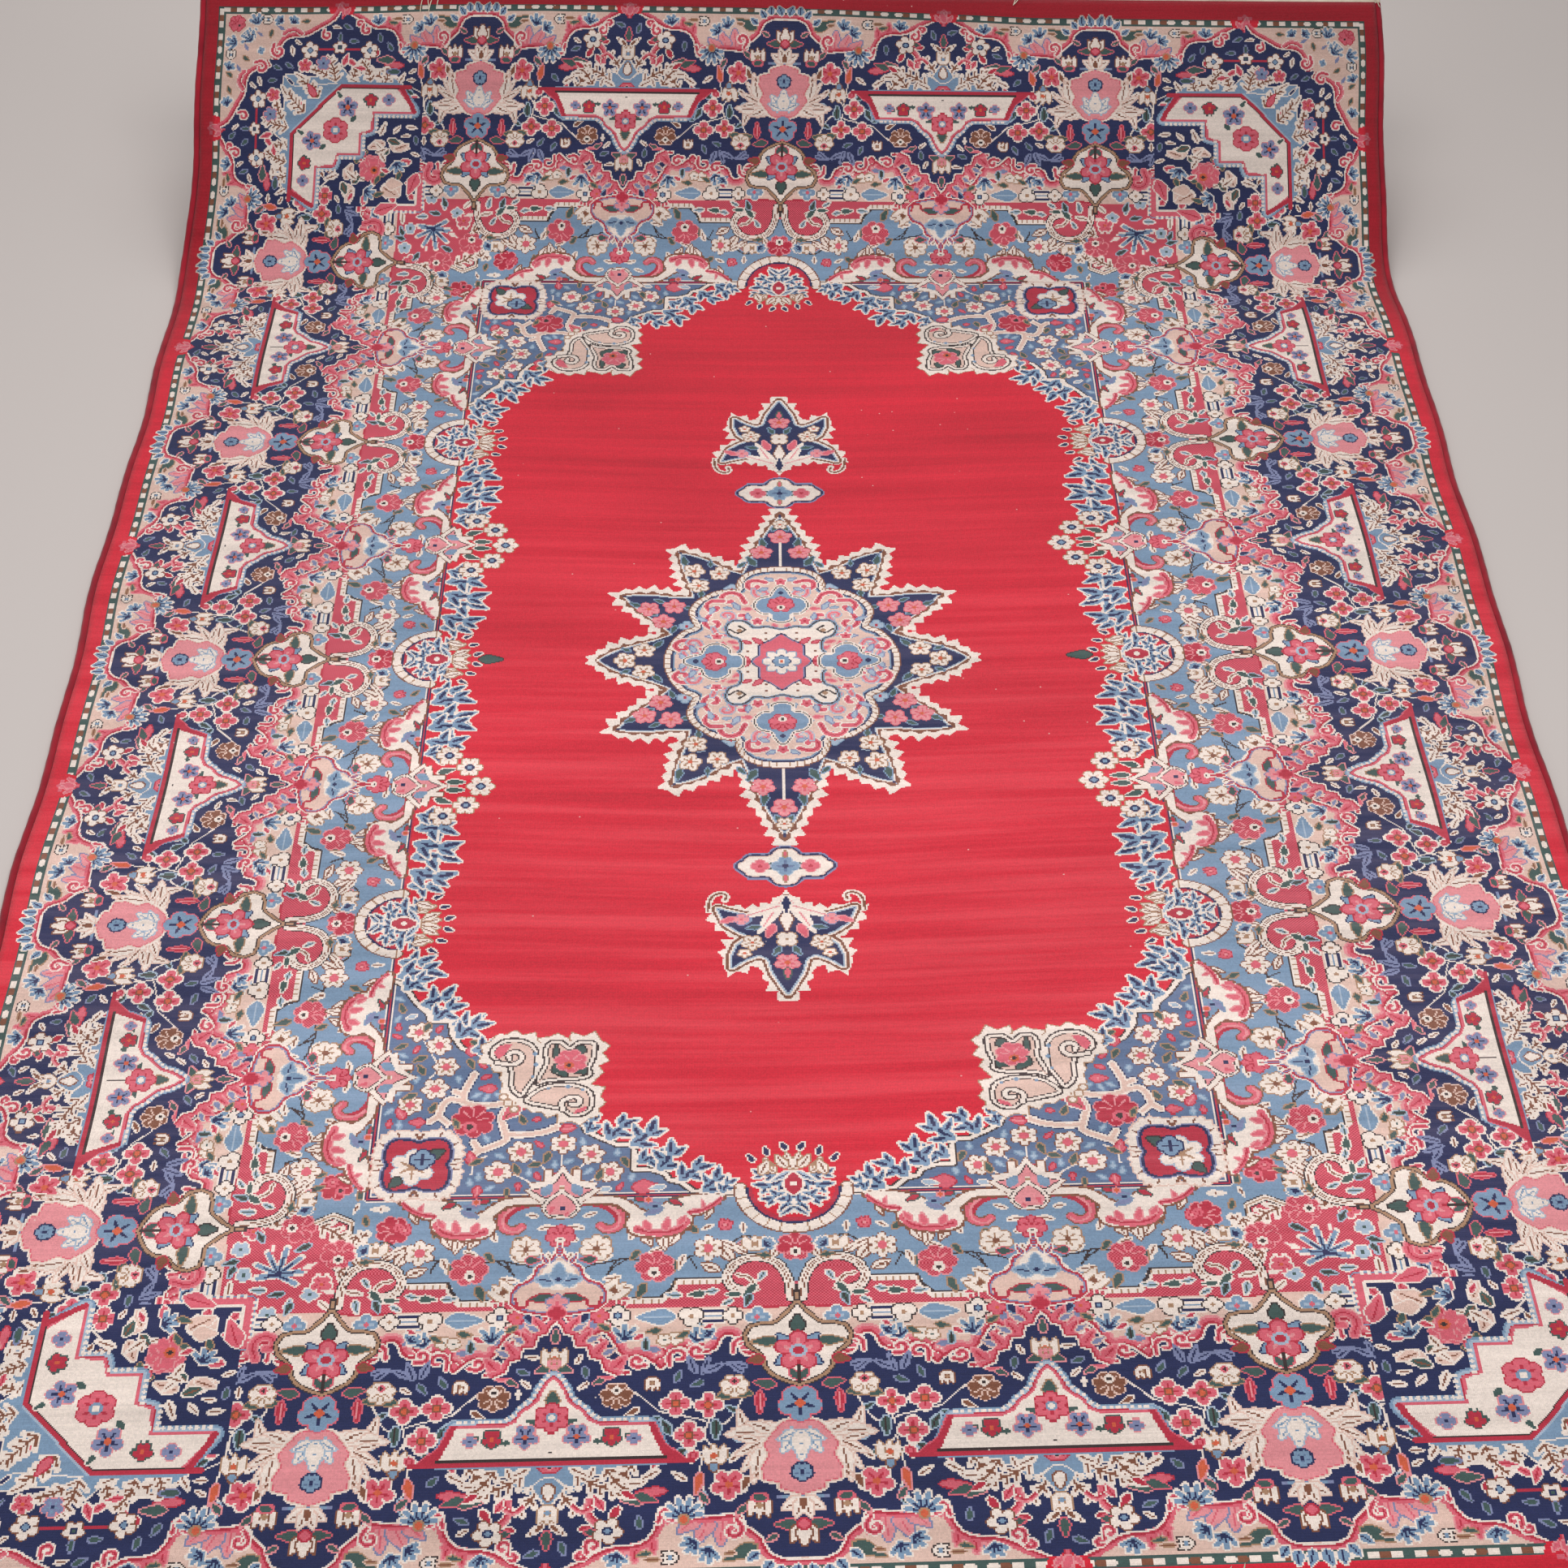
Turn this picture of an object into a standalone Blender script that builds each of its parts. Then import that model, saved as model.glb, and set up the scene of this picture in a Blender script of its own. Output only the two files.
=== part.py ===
"""A hand-knotted rug that lies on a floor, with its far end lifted onto a slope.

Metres, +Z up. +Y runs along the rug, from the near end to the lifted far end.
The pieces are the knotted cloth, an overcast cord along each side, and at each
end a flat-woven web whose warp ends stand out of it as a fringe.

A place on the cloth is given flat, by its distance across from the middle line
and along from the middle, and then laid on the floor, the bend and the slope.
"""
import math

import bmesh
import bpy

# The knotted cloth, measured flat
LEFT_WIDTH = 1.046
RIGHT_WIDTH = 1.017
HALF_LENGTH = 1.543
CLOTH_THICKNESS = 0.009
SEAM_GAP = 0.0003

# Woven by hand, it is a little out of square: the middle line drifts sideways
# along the length, and the end lines rake across the width
DRIFT = 0.026
RAKE = 0.015

# How far each side wanders in and out: amplitude, length and phase of a wave
SIDE_WAVES = (
    (0.0030, 0.66, 0.4),
    (0.0018, 0.29, 1.9),
)

# Where the cloth leaves the floor, and the bend and slope that it then follows
BEND_START = 0.924
BEND_SKEW = 0.030
BEND_RADIUS = 0.268
SLOPE = math.radians(35.0)

# Overcast side cords
CORD_WIDTH = 0.011
CORD_HEIGHT = 0.0085
CORD_SIDES = 8

# End webs and fringe
WEB_WIDTH = 0.010
WEB_THICKNESS = 0.0034
LOCK_COUNT = 120
LOCK_SHARE = 0.48
LOCK_TIP_SHARE = 0.7
LOCK_LENGTH = 0.070
LOCK_LENGTH_SPREAD = 0.006
FLOOR_SWAY = 0.0045
HANGING_SWAY = 0.0020
FLOOR_STEPS = 3
TURN_STEPS = 3
TURN_RADIUS = 0.012
TURN_ANGLE = math.radians(120.0)

# Spacing of the rows that the cloth and the cords are built from
FLAT_STEP = 0.058
BEND_STEP = 0.018
CLOTH_COLUMNS = 12

# Finish of each piece: red, green, blue, roughness
WOOL_RED = (0.42, 0.022, 0.045, 0.92)
OVERCAST_RED = (0.33, 0.016, 0.030, 0.90)
WARP_COTTON = (0.72, 0.66, 0.55, 0.88)


def clear_scene():
    """Remove whatever the scene holds."""
    for item in list(bpy.data.objects):
        bpy.data.objects.remove(item, do_unlink=True)


def laid(across, along, height):
    """Place a point of the flat cloth on the floor, the bend or the slope."""
    side = across + DRIFT * along
    ahead = along + RAKE * across
    start = BEND_START + BEND_SKEW * side
    beyond = max(ahead - start, 0.0)
    arc = min(beyond, BEND_RADIUS * SLOPE)
    angle = arc / BEND_RADIUS
    straight = beyond - arc
    y = min(ahead, start) + BEND_RADIUS * math.sin(angle) + straight * math.cos(SLOPE)
    z = BEND_RADIUS * (1.0 - math.cos(angle)) + straight * math.sin(SLOPE)
    return (side, y - height * math.sin(angle), z + height * math.cos(angle))


def wander(along, phase_sign):
    """Return how far a side strays outward at a distance along the rug."""
    return sum(
        size * math.sin(2.0 * math.pi * along / length + phase_sign * phase)
        for size, length, phase in SIDE_WAVES
    )


def left_edge(along):
    return -LEFT_WIDTH - wander(along, -1.0)


def right_edge(along):
    return RIGHT_WIDTH + wander(along, 1.0)


def evenly(first, last, step):
    """Return distances from first up to, but without, last."""
    count = max(1, round((last - first) / step))
    return [first + (last - first) * index / count for index in range(count)]


def row_places():
    """Return the rows along the rug, closer together around the bend."""
    spread = BEND_SKEW * LEFT_WIDTH + RAKE * LEFT_WIDTH
    bend_first = BEND_START - spread
    bend_last = BEND_START + BEND_RADIUS * SLOPE + spread
    rows = evenly(-HALF_LENGTH, bend_first, FLAT_STEP)
    rows += evenly(bend_first, bend_last, BEND_STEP)
    rows += evenly(bend_last, HALF_LENGTH, FLAT_STEP)
    return rows + [HALF_LENGTH]


def closed_body(name, points, faces):
    """Make an object from one closed mesh, with its faces turned outward."""
    mesh = bpy.data.meshes.new(name)
    mesh.from_pydata(points, [], faces)
    shell = bmesh.new()
    shell.from_mesh(mesh)
    bmesh.ops.recalc_face_normals(shell, faces=shell.faces)
    shell.to_mesh(mesh)
    shell.free()
    body = bpy.data.objects.new(name, mesh)
    bpy.context.scene.collection.objects.link(body)
    return body


def loft(name, rings, cap):
    """Join equal rings of points into one closed body, with the given end cap faces."""
    size = len(rings[0])
    points = [point for ring in rings for point in ring]
    faces = []
    for row in range(len(rings) - 1):
        for index in range(size):
            following = (index + 1) % size
            near, far = row * size, (row + 1) * size
            faces.append((near + index, near + following, far + following, far + index))
    last = (len(rings) - 1) * size
    faces += [tuple(index for index in face) for face in cap]
    faces += [tuple(last + index for index in face) for face in cap]
    return closed_body(name, points, faces)


def knotted_cloth():
    """The knotted slab: warps, wefts and pile as one sheet of real thickness."""
    rings = []
    for along in row_places():
        left, right = left_edge(along), right_edge(along)
        shares = [column / CLOTH_COLUMNS for column in range(CLOTH_COLUMNS + 1)]
        places = [left + (right - left) * share for share in shares]
        under = [laid(across, along, 0.0) for across in places]
        over = [laid(across, along, CLOTH_THICKNESS) for across in reversed(places)]
        rings.append(under + over)
    size = len(rings[0])
    cap = [(i, i + 1, size - 2 - i, size - 1 - i) for i in range(CLOTH_COLUMNS)]
    return loft("rug_cloth", rings, cap)


def side_cord(name, edge, outward):
    """One overcast cord beside the cloth, flat underneath where it meets the floor."""
    corner = math.pi / CORD_SIDES
    rings = []
    for along in row_places():
        middle = edge(along) + outward * (SEAM_GAP + CORD_WIDTH / 2.0)
        ring = []
        for side in range(CORD_SIDES):
            angle = (2 * side + 1) * corner
            across = middle + CORD_WIDTH / 2.0 * math.cos(angle) / math.cos(corner)
            height = CORD_HEIGHT / 2.0 * (1.0 + math.sin(angle) / math.cos(corner))
            ring.append(laid(across, along, max(height, 0.0)))
        rings.append(ring)
    return loft(name, rings, [tuple(range(CORD_SIDES))])


def floor_lock(length):
    """Return the lower and upper edge of a lock that lies level on the floor.

    Each entry is the way out from the web and the height, for the lower edge and
    then for the upper one.
    """
    steps = []
    for index in range(1, FLOOR_STEPS + 1):
        share = index / FLOOR_STEPS
        reach = length * share
        top = WEB_THICKNESS * (1.0 - (1.0 - LOCK_TIP_SHARE) * share)
        steps.append(((reach, 0.0), (reach, top)))
    return steps


def hanging_lock(length):
    """Return the edges of a lock that leaves the slope's end, turns over and hangs."""
    outer = TURN_RADIUS + WEB_THICKNESS
    steps = []
    for index in range(1, TURN_STEPS + 1):
        angle = TURN_ANGLE * index / TURN_STEPS
        sine, cosine = math.sin(angle), math.cos(angle)
        low = (TURN_RADIUS * sine, TURN_RADIUS * (cosine - 1.0))
        high = (outer * sine, outer * cosine - TURN_RADIUS)
        steps.append((low, high))
    drop = length - TURN_RADIUS * TURN_ANGLE
    forward, down = drop * math.cos(TURN_ANGLE), -drop * math.sin(TURN_ANGLE)
    low, high = steps[-1]
    steps.append(((low[0] + forward, low[1] + down), (high[0] + forward, high[1] + down)))
    return steps


def fringed_web(name, outward, lock_shape, sway):
    """One flat-woven end web with its locks of warp ends, as a single body."""
    inner = outward * (HALF_LENGTH + SEAM_GAP)
    outer = outward * (HALF_LENGTH + WEB_WIDTH)
    cord = SEAM_GAP + CORD_WIDTH
    first = left_edge(outward * HALF_LENGTH) - cord
    last = right_edge(outward * HALF_LENGTH) + cord
    pitch = (last - first) / LOCK_COUNT
    spare = pitch * (1.0 - LOCK_SHARE) / 2.0
    columns = [first]
    for lock in range(LOCK_COUNT):
        columns += [first + lock * pitch + spare, first + (lock + 1) * pitch - spare]
    columns.append(last)

    points, faces = [], []
    for across in columns:
        points += [
            laid(across, inner, 0.0),
            laid(across, inner, WEB_THICKNESS),
            laid(across, outer, WEB_THICKNESS),
            laid(across, outer, 0.0),
        ]
    for cell in range(len(columns) - 1):
        a, b = 4 * cell, 4 * cell + 4
        faces += [(a, a + 1, b + 1, b), (a + 1, a + 2, b + 2, b + 1), (a + 3, a, b, b + 3)]
        holds_lock = cell % 2 == 1
        if not holds_lock:
            faces.append((a + 2, a + 3, b + 3, b + 2))
    last_column = 4 * (len(columns) - 1)
    faces += [(0, 1, 2, 3), tuple(last_column + index for index in range(4))]

    for lock in range(LOCK_COUNT):
        middle = first + (lock + 0.5) * pitch
        half = pitch * LOCK_SHARE / 2.0
        length = LOCK_LENGTH + LOCK_LENGTH_SPREAD * math.sin(2.3 * lock)
        drift = sway * (math.sin(0.37 * lock) + 0.4 * math.sin(1.7 * lock))
        left_root, right_root = 4 * (2 * lock + 1), 4 * (2 * lock + 2)
        ring = (left_root + 3, right_root + 3, right_root + 2, left_root + 2)
        shape = lock_shape(length)
        for step, (low, high) in enumerate(shape, start=1):
            share = step / len(shape)
            centre = middle + drift * share * share
            reach = half * (1.0 - (1.0 - LOCK_TIP_SHARE) * share)
            count = len(points)
            points += [
                laid(centre - reach, outer + outward * low[0], low[1]),
                laid(centre + reach, outer + outward * low[0], low[1]),
                laid(centre + reach, outer + outward * high[0], high[1]),
                laid(centre - reach, outer + outward * high[0], high[1]),
            ]
            following = tuple(range(count, count + 4))
            for side in range(4):
                other = (side + 1) % 4
                faces.append((ring[side], ring[other], following[other], following[side]))
            ring = following
        faces.append(ring)
    return closed_body(name, points, faces)


def finish_piece(piece, finish):
    """Give a piece its own plain material."""
    red, green, blue, roughness = finish
    material = bpy.data.materials.new(piece.name + "_yarn")
    material.use_nodes = True
    shader = material.node_tree.nodes["Principled BSDF"]
    shader.inputs["Base Color"].default_value = (red, green, blue, 1.0)
    shader.inputs["Roughness"].default_value = roughness
    shader.inputs["Metallic"].default_value = 0.0
    piece.data.materials.append(material)


def stand_on_origin(pieces):
    """Move the rug so that the middle of its box stands on the origin."""
    spots = [vertex.co for piece in pieces for vertex in piece.data.vertices]
    middle = [(min(s[axis] for s in spots) + max(s[axis] for s in spots)) / 2 for axis in (0, 1)]
    base = bpy.data.objects.new("rug_base", None)
    bpy.context.scene.collection.objects.link(base)
    base.location = (-middle[0], -middle[1], 0.0)
    for piece in pieces:
        piece.parent = base


def main():
    clear_scene()
    cloth = knotted_cloth()
    cords = [
        side_cord("cord_left", left_edge, -1.0),
        side_cord("cord_right", right_edge, 1.0),
    ]
    fringes = [
        fringed_web("fringe_near", -1.0, floor_lock, FLOOR_SWAY),
        fringed_web("fringe_far", 1.0, hanging_lock, HANGING_SWAY),
    ]
    finish_piece(cloth, WOOL_RED)
    for cord in cords:
        finish_piece(cord, OVERCAST_RED)
    for fringe in fringes:
        finish_piece(fringe, WARP_COTTON)
    stand_on_origin([cloth, *cords, *fringes])


main()
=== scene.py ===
"""The looks of a hand-knotted rug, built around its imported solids.

Metres, +Z up. The rug lies flat and its far end is lifted onto a slope. Its
pattern is a chart of knots that this script draws from named motifs on one
quarter of the rug and mirrors. Each face of the pile holds the yarns of its
knots as whole numbers, and the wool's shader reads them back.
"""

import logging
import math
from dataclasses import dataclass, field, replace
from enum import Enum, IntEnum
from typing import Dict, Iterator, List, Optional, Sequence, Tuple, Union

import bpy
import numpy as np
from mathutils import Matrix, Vector


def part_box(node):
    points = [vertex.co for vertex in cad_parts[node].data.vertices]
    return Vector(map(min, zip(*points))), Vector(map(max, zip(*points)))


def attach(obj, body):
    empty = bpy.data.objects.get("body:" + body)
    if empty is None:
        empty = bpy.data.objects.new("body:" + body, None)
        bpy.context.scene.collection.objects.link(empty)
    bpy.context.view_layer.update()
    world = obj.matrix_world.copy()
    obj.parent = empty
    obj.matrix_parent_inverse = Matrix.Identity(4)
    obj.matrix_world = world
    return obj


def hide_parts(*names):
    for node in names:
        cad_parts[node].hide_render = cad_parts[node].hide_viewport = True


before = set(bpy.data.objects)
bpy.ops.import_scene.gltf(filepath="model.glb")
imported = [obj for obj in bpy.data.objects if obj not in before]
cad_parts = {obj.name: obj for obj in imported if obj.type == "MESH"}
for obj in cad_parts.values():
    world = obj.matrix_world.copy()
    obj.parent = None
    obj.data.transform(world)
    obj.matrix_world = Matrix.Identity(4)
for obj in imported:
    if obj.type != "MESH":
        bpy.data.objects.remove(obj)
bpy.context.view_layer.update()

LOG = logging.getLogger("rug")


class Yarn(IntEnum):
    """The dyed wools that the rug is knotted from."""

    RED = 0
    NAVY = 1
    SKY = 2
    DENIM = 3
    PALE = 4
    IVORY = 5
    BEIGE = 6
    ROSE = 7
    PINK = 8
    CRIMSON = 9
    GREEN = 10
    BROWN = 11
    TAN = 12
    LAVENDER = 13
    ORANGE = 14
    DARK = 15


RED, NAVY, SKY, DENIM, PALE, IVORY, BEIGE, ROSE = tuple(Yarn)[:8]
PINK, CRIMSON, GREEN, BROWN, TAN, LAVENDER, ORANGE, DARK = tuple(Yarn)[8:]
BOTH = (-1.0, 1.0)
MILLIMETRES = 1000.0  # to a metre
KNOT = 2.0  # millimetres from one knot of the chart to the next
BLOCK = 5  # knots along each side of a face
STAMP_STEP = 0.4  # knots from one stamp to the next along a line
HALF_UNIT = 264.0  # millimetres from a palmette's axis to a cartouche's in the tables below
Points = Sequence[Tuple[float, float]]
Edges = Sequence[Tuple[Yarn, float]]


@dataclass(frozen=True)
class Spot:
    """Where a motif stands on the chart: its root, and the way it grows.

    Places are millimetres out from the rug's two middle lines. A motif's own y
    runs the way it grows and x across it.
    """

    u: float
    v: float
    turn: float = 0.0
    flip: float = 1.0
    size: float = 1.0

    def carry(self, points: Points) -> np.ndarray:
        """Return the motif's own points as places on the rug.

        Args:
            points: places in the motif, across and along the way it grows.

        Returns:
            An array of (u, v) rows.
        """
        own = np.asarray(points, float).reshape(-1, 2) * self.size
        across, along = own[:, 0] * self.flip, own[:, 1]
        cosine, sine = math.cos(math.radians(self.turn)), math.sin(math.radians(self.turn))
        return np.stack(
            [self.u + across * cosine + along * sine, self.v - across * sine + along * cosine], 1
        )

    def at(self, x: float, y: float, turn: float = 0.0, size: float = 1.0, flip: float = 1.0) -> "Spot":
        """Return a spot inside this motif.

        Args:
            x: how far across.
            y: how far along.
            turn: degrees, clockwise from the motif's own way of growing.
            size: how much larger the new spot's motif is.
            flip: -1 to mirror it.

        Returns:
            The new spot.
        """
        place = self.carry([(x, y)])[0]
        return Spot(place[0], place[1], self.turn + self.flip * turn, self.flip * flip, self.size * size)


def bend(points: Points, closed: bool = False, steps: int = 6) -> np.ndarray:
    """Run a smooth curve through some points.

    Args:
        points: the places it passes.
        closed: whether it comes back to the first one.
        steps: how many short straights make each stretch.

    Returns:
        The curve's points.
    """
    own = np.asarray(points, float)
    if closed:
        padded = np.concatenate([own[-1:], own, own[:2]])
    else:
        padded = np.concatenate([2 * own[:1] - own[1:2], own, 2 * own[-1:] - own[-2:-1]])
    share = (np.arange(steps) / steps)[:, None, None]
    p0, p1, p2, p3 = padded[:-3], padded[1:-2], padded[2:-1], padded[3:]
    path = 0.5 * (
        2 * p1
        + (p2 - p0) * share
        + (2 * p0 - 5 * p1 + 4 * p2 - p3) * share**2
        + (3 * p1 - p0 - 3 * p2 + p3) * share**3
    )
    path = path.transpose(1, 0, 2).reshape(-1, 2)
    return path if closed else np.concatenate([path, own[-1:]])


def petals(count: int, reach: float, notch: float, point: float = 1.0, squash: float = 1.0) -> np.ndarray:
    """Return the outline of a flower seen from above.

    Args:
        count: how many petals.
        reach: from the heart to a petal's end.
        notch: from the heart to the notch between two petals.
        point: under 1 for broad petals, over 1 for pointed ones.
        squash: how much narrower it is across than along.

    Returns:
        The closed outline's points.
    """
    angle = np.linspace(0.0, 2.0 * math.pi, 10 * count, endpoint=False)
    swell = np.abs(np.cos(count * angle / 2.0)) ** point
    radius = notch + (reach - notch) * swell
    return np.stack([radius * np.sin(angle) * squash, radius * np.cos(angle)], 1)


def inset(path: Points, depth: float) -> np.ndarray:
    """Return a closed path drawn in, squarely to its own run.

    Args:
        path: its points.
        depth: how far it is drawn in; less than 0 draws it out.

    Returns:
        The new path's points.
    """
    own = np.asarray(path, float)
    ahead = np.roll(own, -1, 0) - np.roll(own, 1, 0)
    turned = np.stack([-ahead[:, 1], ahead[:, 0]], 1)
    area = (own[:, 0] * np.roll(own[:, 1], -1) - np.roll(own[:, 0], -1) * own[:, 1]).sum()
    return own + turned / np.maximum(np.hypot(*turned.T), 1e-6)[:, None] * depth * math.copysign(1.0, area)


def run_along(path: np.ndarray) -> np.ndarray:
    """Return how far along an open path each of its points lies."""
    return np.concatenate([[0.0], np.cumsum(np.hypot(*np.diff(path, axis=0).T))])


def walk(path: np.ndarray, ticks: np.ndarray) -> np.ndarray:
    """Return the places at some distances along an open path."""
    run = run_along(path)
    return np.stack([np.interp(ticks, run, path[:, axis]) for axis in (0, 1)], 1)


def teeth(outline: Points, depth: float, pitch: float) -> np.ndarray:
    """Cut a closed outline into teeth that stand out from it.

    Args:
        outline: its points.
        depth: how far a tooth stands out.
        pitch: from one tooth to the next.

    Returns:
        The toothed outline's points.
    """
    own = np.asarray(outline, float)
    own = np.concatenate([own, own[:1]])
    length = run_along(own)[-1]
    place = walk(own, np.linspace(0.0, length, 2 * max(2, int(length / pitch)), endpoint=False))
    uneven = 0.8 + 0.35 * np.sin(2.4 * np.arange(len(place)))[:, None]
    place[1::2] += ((inset(place, -depth) - place) * uneven)[1::2]
    return place


class Chart:
    """One quarter of the rug as a grid of knots, drawn on with yarns."""

    def __init__(self, width: float, length: float, knot: float) -> None:
        """Make an empty chart.

        Args:
            width: millimetres from the middle to the side.
            length: millimetres from the middle to the end.
            knot: millimetres from one knot to the next.
        """
        self.knot = knot
        self.cells = np.zeros((math.ceil(length / knot), math.ceil(width / knot)), np.uint8)
        rows, columns = np.indices(self.cells.shape)
        self.u, self.v = (columns + 0.5) * knot, (rows + 0.5) * knot
        self.open = np.ones(self.cells.shape, bool)

    def knots(self, spot: Spot, points: Points) -> np.ndarray:
        """Return a motif's points in knots."""
        return spot.carry(points) / self.knot

    def put(self, where: np.ndarray, yarn: Yarn) -> None:
        """Knot a yarn wherever a mask says, inside what is open to drawing."""
        self.cells[where & self.open] = yarn

    def fill(self, spot: Spot, outline: Points, yarn: Yarn) -> None:
        """Knot the inside of a closed outline.

        Args:
            spot: where the motif stands.
            outline: its points.
            yarn: what to knot it with.
        """
        loop = self.knots(spot, outline) - 0.5
        low = np.maximum(np.floor(loop.min(0)).astype(int), 0)
        shape = np.array(self.cells.shape[::-1])
        high = np.minimum(np.ceil(loop.max(0)).astype(int) + 1, shape)
        if (high <= low).any():
            return
        columns, rows = high - low
        toggles = np.zeros((rows, columns + 1), np.int32)
        for (x0, y0), (x1, y1) in zip(loop, np.roll(loop, -1, 0)):
            if y0 == y1:
                continue
            first, last = max(math.ceil(min(y0, y1)), low[1]), min(math.ceil(max(y0, y1)), high[1])
            if first >= last:
                continue
            row = np.arange(first, last)
            cross = np.ceil(x0 + (row - y0) * (x1 - x0) / (y1 - y0)).astype(int) - low[0]
            np.add.at(toggles, (row - low[1], np.clip(cross, 0, columns)), 1)
        inside = (np.cumsum(toggles, 1)[:, :-1] & 1).astype(bool)
        window = (slice(low[1], high[1]), slice(low[0], high[0]))
        self.cells[window][inside & self.open[window]] = yarn

    def line(self, spot: Spot, path: Points, width: float, yarn: Yarn, closed: bool = False) -> None:
        """Knot a line.

        Args:
            spot: where the motif stands.
            path: the points it passes.
            width: its width in millimetres.
            yarn: what to knot it with.
            closed: whether it comes back to its start.
        """
        own = self.knots(spot, path)
        if closed:
            own = np.concatenate([own, own[:1]])
        length = run_along(own)[-1]
        ticks = np.linspace(0.0, length, int(length / STAMP_STEP) + 2)
        self._stamp(walk(own, ticks), width / 2.0 / self.knot, yarn)

    def lines(
        self, spot: Spot, path: Points, rows: Sequence[Tuple[float, Yarn]], closed: bool = False
    ) -> None:
        """Knot lines over one another along one path.

        Args:
            spot: where the motif stands.
            path: the points it passes.
            rows: each line's width and yarn, the lowest first.
            closed: whether it comes back to its start.
        """
        for width, yarn in rows:
            self.line(spot, path, width, yarn, closed)

    def dots(self, spot: Spot, centres: Points, radius: float, yarn: Yarn) -> None:
        """Knot round dots.

        Args:
            spot: where the motif stands.
            centres: the dots' places in the motif.
            radius: in millimetres.
            yarn: what to knot them with.
        """
        self._stamp(self.knots(spot, centres), radius * spot.size / self.knot, yarn)

    def _stamp(self, place: np.ndarray, radius: float, yarn: Yarn) -> None:
        """Knot every cell whose middle lies within a radius, in knots, of some places.

        Args:
            place: their rows of across and along, in knots.
            radius: in knots.
            yarn: what to knot the cells with.
        """
        reach = math.ceil(radius + 0.5)
        offsets = np.arange(-reach, reach + 1)
        dx, dy = (grid.ravel() for grid in np.meshgrid(offsets, offsets))
        base = np.floor(place).astype(int)
        x, y = base[:, :1] + dx, base[:, 1:] + dy
        far = np.hypot(x + 0.5 - place[:, :1], y + 0.5 - place[:, 1:])
        rows, columns = self.cells.shape
        kept = (far <= max(radius, 0.5)) & (x >= 0) & (y >= 0) & (x < columns) & (y < rows)
        x, y = x[kept], y[kept]
        inside = self.open[y, x]
        self.cells[y[inside], x[inside]] = yarn

    def shape(self, spot: Spot, outline: Points, yarn: Yarn, edges: Edges = ()) -> None:
        """Knot a closed shape with rings of other yarns round it.

        Args:
            spot: where the motif stands.
            outline: its points.
            yarn: what to fill it with.
            edges: each ring's yarn and how far out it reaches, the outermost first.
        """
        for edge, reach in edges:
            self.line(spot, outline, 2.0 * reach, edge, closed=True)
        self.fill(spot, outline, yarn)

    def soft(self, spot: Spot, points: Points, yarn: Yarn, edges: Edges = ()) -> None:
        """Knot a closed shape whose outline runs smoothly through a few points."""
        self.shape(spot, bend(points, closed=True), yarn, edges)

    def stroke(self, spot: Spot, points: Points, width: float, yarn: Yarn) -> None:
        """Knot a smooth line through a few points."""
        self.line(spot, bend(points), width, yarn)

    def spread(self, u: np.ndarray, v: np.ndarray) -> np.ndarray:
        """Return the yarns of the whole rug, the quarter mirrored over both middle lines.

        Args:
            u: millimetres right of the middle, for each column.
            v: millimetres from the middle towards the near end, for each row.

        Returns:
            One row of yarn codes for each v.
        """
        rows, columns = self.cells.shape
        column = np.minimum((np.abs(u) / self.knot).astype(int), columns - 1)
        row = np.minimum((np.abs(v) / self.knot).astype(int), rows - 1)
        return self.cells[row[:, None], column[None, :]]


def whole(half: Points) -> List[Tuple[float, float]]:
    """Return a closed outline from its right half, which starts and ends on the axis."""
    return [*half, *((-x, y) for x, y in half[-2:0:-1])]


def all_round(quarter: Points) -> np.ndarray:
    """Return a closed outline from a quarter of it, which starts and ends on the axes."""
    own = np.asarray(quarter, float)
    return np.concatenate([own, own[-2::-1] * (1, -1), own[1:] * (-1, -1), own[-2:0:-1] * (-1, 1)])


def beside(path: Points, depth: float) -> np.ndarray:
    """Return an open path moved to its left, seen with y upward.

    Args:
        path: its points.
        depth: how far it is moved.

    Returns:
        The moved path's points.
    """
    own = np.asarray(path, float)
    ahead = np.gradient(own, axis=0)
    out = np.stack([-ahead[:, 1], ahead[:, 0]], 1)
    return own + out / np.maximum(np.hypot(*out.T), 1e-6)[:, None] * depth


def way(degrees: float) -> np.ndarray:
    """Return a step of one millimetre in a direction, clockwise from straight ahead."""
    return np.array([math.sin(math.radians(degrees)), math.cos(math.radians(degrees))])


def blade(size: float, slim: float, lean: float = 0.0) -> List[Tuple[float, float]]:
    """Return a leaf's outline.

    Args:
        size: its length.
        slim: its width, as a share of its length.
        lean: how far its tip leans over, as a share of its length.

    Returns:
        The closed outline's points.
    """
    half, tip = size * slim / 2.0, size * lean
    return [(0, 0), (-half, 0.35 * size), (0.5 * tip - 0.6 * half, 0.7 * size), (tip, size),
            (0.4 * tip + 0.7 * half, 0.65 * size), (half, 0.3 * size)]


@dataclass(frozen=True)
class Flower:
    """A flower seen from above; its size is the radius."""

    petal: Yarn
    edge: Yarn
    heart: Yarn
    count: int = 5
    notch: float = 0.5
    rim: float = 1.8
    spoke: Optional[Yarn] = None
    eye: Optional[Yarn] = None

    def draw(self, art: Chart, spot: Spot, size: float) -> None:
        """Draw one.

        Args:
            art: the chart.
            spot: where it stands, and the way it grows.
            size: in millimetres, as its class says.
        """
        art.shape(spot, petals(self.count, size, self.notch * size, 0.6), self.petal,
                  ((self.edge, self.rim),))
        if self.spoke is not None:
            art.fill(spot, petals(self.count, 0.7 * size, 0.0, 3.0), self.spoke)
        if self.eye is not None:
            art.dots(spot, [(0, 0)], 0.36 * size, self.eye)
        art.dots(spot, [(0, 0)], 0.22 * size, self.heart)


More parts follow.
